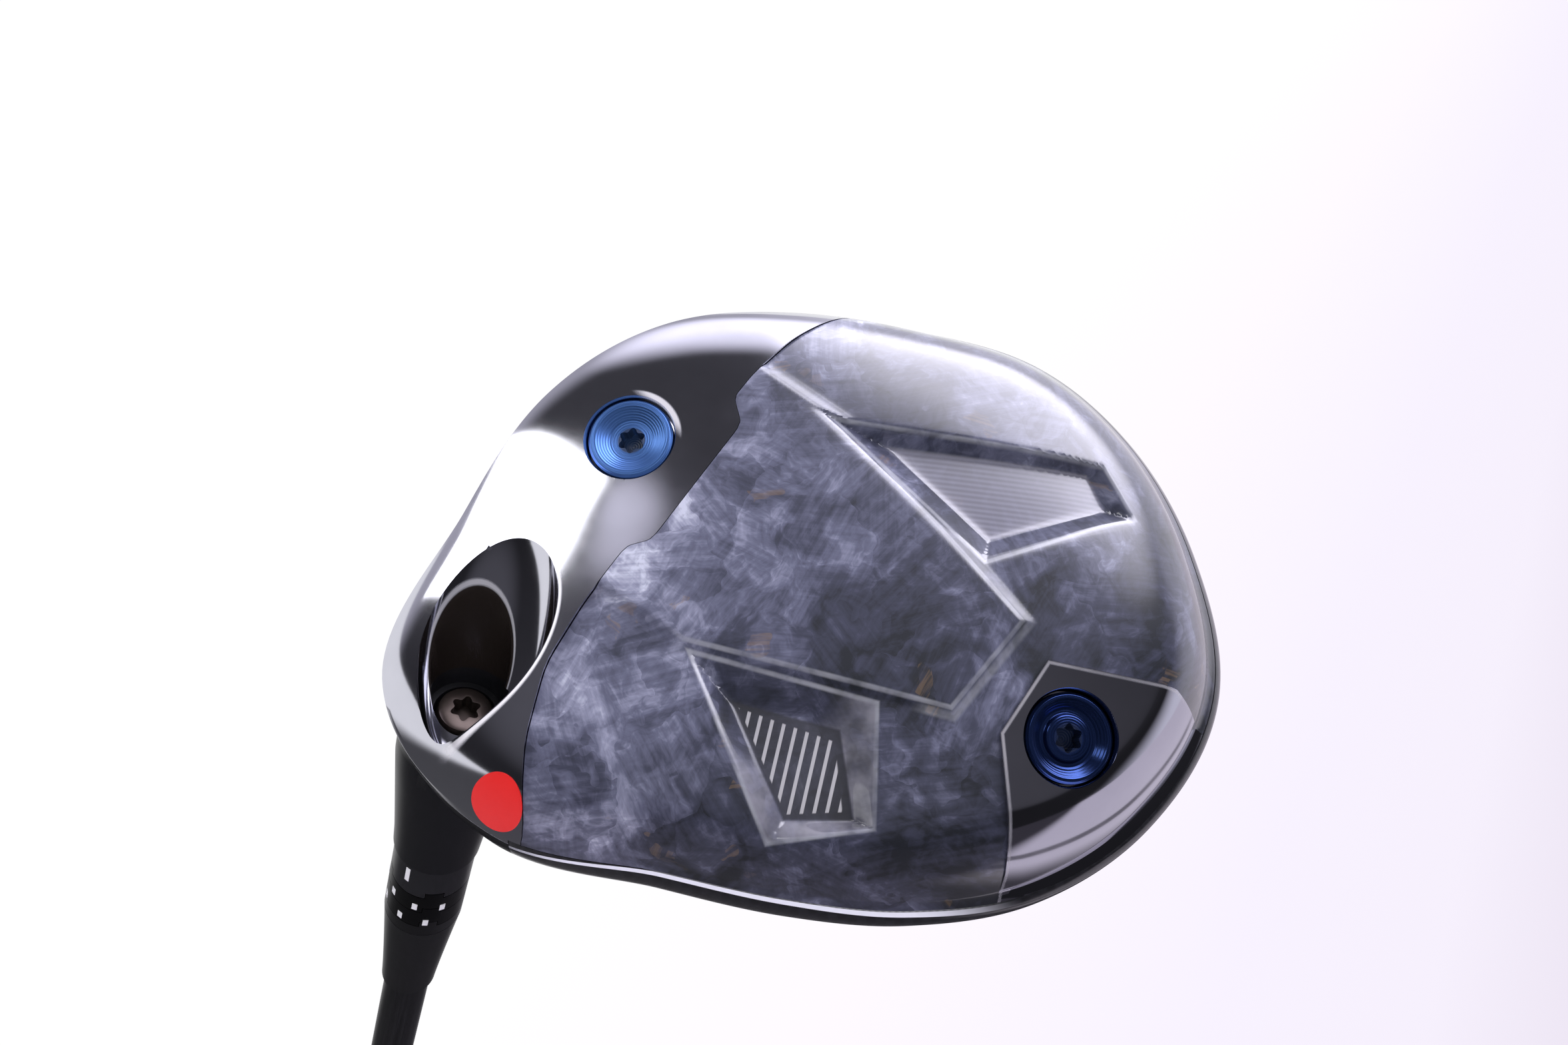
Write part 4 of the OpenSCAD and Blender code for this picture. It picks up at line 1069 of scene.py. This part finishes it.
def make_floor():
    """A pale floor: evenly lit to the camera, and in reflections lit only in three fields."""
    f = Finish("studio_floor")
    x, y, _ = f.apart(f.spots())
    colour = f.ramp((x + 600) / 1600, [(0.2, (1.0, 1.0, 1.0)), (0.43, (0.99, 0.95, 1.0)),
                                       (0.68, (0.93, 0.88, 0.983)), (0.83, (0.915, 0.865, 0.965)),
                                       (1.0, (0.81, 0.75, 0.86))])
    ray = f.node("ShaderNodeLightPath")
    seen = ray.most(ray.other("Is Glossy Ray")).most(ray.other("Is Transmission Ray"))
    toe_field = (y - x * 0.8).over(200, 900)
    right_field = x.over(950, 1400) * y.over(-600, -100) * (1 - abs(x - 1650).over(110, 70) * 0.8)
    left_field = x.over(-1000, -1500)
    lit = ray.most(toe_field.most(right_field).most(left_field) * 0.92 + 0.04)
    grey = f.node("ShaderNodeBsdfDiffuse", None, {"Color": colour})
    fields = f.mixed(lit, (0.0, 0.0, 0.0), colour)
    glow = f.node("ShaderNodeEmission", None, {"Color": fields, "Strength": 1.0})
    both = f.node("ShaderNodeMixShader", None, {0: seen * 0.97, 1: grey, 2: glow})
    f.node("ShaderNodeOutputMaterial", None, {0: both})
    bpy.ops.mesh.primitive_plane_add(size=14)
    floor = bpy.context.object
    floor.name = "studio_floor"
    floor.data.materials.append(f.material)


def make_camera():
    """Places the camera and gives back its directions ahead, up and to the side."""
    eye = IN_HEAD @ Vector(CAMERA_SPOT)
    ahead = (IN_HEAD.to_3x3() @ Vector(CAMERA_AHEAD)).normalized()
    up = IN_HEAD.to_3x3() @ Vector(CAMERA_UP)
    up = (up - ahead * up.dot(ahead)).normalized()
    side = ahead.cross(up)
    bpy.ops.object.camera_add()
    camera = bpy.context.object
    camera.matrix_world = Matrix(((side.x, up.x, -ahead.x, eye.x), (side.y, up.y, -ahead.y, eye.y),
                                  (side.z, up.z, -ahead.z, eye.z), (0, 0, 0, 1)))
    camera.data.sensor_width = SENSOR
    camera.data.lens = FOCAL_PIXELS / PHOTO_PIXELS * SENSOR
    camera.data.clip_start, camera.data.clip_end = 0.01, 50
    bpy.context.scene.camera = camera
    return ahead, up, side


def make_light(name, spot, aim, across, size, glow, mirrored=True):
    """A softbox of the given brightness that faces its aim, one side along the given direction."""
    bpy.ops.object.light_add(type="AREA")
    lamp = bpy.context.object
    lamp.name = name
    lamp.data.shape = "RECTANGLE"
    lamp.data.size, lamp.data.size_y = size
    lamp.data.energy = glow * math.pi * size[0] * size[1]
    back = (spot - aim).normalized()
    first = (across - back * across.dot(back)).normalized()
    turned_to = Matrix((first, back.cross(first), back)).transposed().to_4x4()
    lamp.matrix_world = Matrix.Translation(spot) @ turned_to
    lamp.visible_glossy = mirrored


def make_studio():
    """The room's glow as the head's reflections see it, and three softboxes."""
    ahead, up, side = make_camera()
    world = bpy.data.worlds.new("studio")
    bpy.context.scene.world = world
    world.use_nodes = True
    f = Finish.__new__(Finish)
    f.tree = world.node_tree
    f.tree.nodes.clear()
    way = f.node("ShaderNodeTexCoord")
    ray = f.node("ShaderNodeLightPath")

    def lay(right, high, near):
        return (side * right + up * high - ahead * near).normalized()

    def facing(aim):
        made = f.node("ShaderNodeVectorMath", {"operation": "DOT_PRODUCT"}, {0: way, 1: aim})
        return Wire(f, made.socket.node.outputs[1])

    # The wall beyond the head, brighter on the right, over a dim room
    glow = facing(-ahead).over(0.12, -0.25) * (facing(side).over(-0.1, 0.3) * 0.5 + 0.45)
    glow = glow + facing(up).over(-0.6, 1.0) * 0.04 + 0.022
    # A faint patch behind the camera
    glow = glow + facing(-ahead).over(0.7, 0.9) * 0.07
    # Windows high on the right and straight above, and one small lamp
    glow = glow + facing(lay(0.4, 0.88, 0.1)).over(0.72, 0.93) * facing(side).over(0.0, 0.2) * 6
    glow = glow + facing(lay(0.03, 0.98, -0.2)).over(0.84, 0.97) * 1.2
    glow = glow + facing(lay(-0.22, 0.61, 0.76)).over(0.9984, 0.9994) * 0.9
    sky = f.node("ShaderNodeBackground", None, {
        "Color": f.mixed(ray, (0.9, 0.88, 1.0), (0.97, 0.965, 1.0)), "Strength": ray + (1 - ray) * glow})
    f.node("ShaderNodeOutputWorld", None, {0: sky})
    heart = IN_HEAD @ Vector((-10, 0, 10))
    make_light("softbox_left", heart + lay(-0.691, 0.631, 0.352) * 0.7, heart, side * 0.06 - up,
               (0.2, 0.8), 3.0)
    make_light("softbox_top", heart + lay(0.45, 0.85, -0.25) * 0.7, heart, side, (0.6, 0.5), 2.0, False)
    make_light("softbox_fill", heart + lay(0.1, -0.1, 1.0) * 1.2, heart, side, (0.8, 0.8), 4.4, False)


make_floor()
make_studio()
bpy.context.scene.view_settings.view_transform = "Standard"
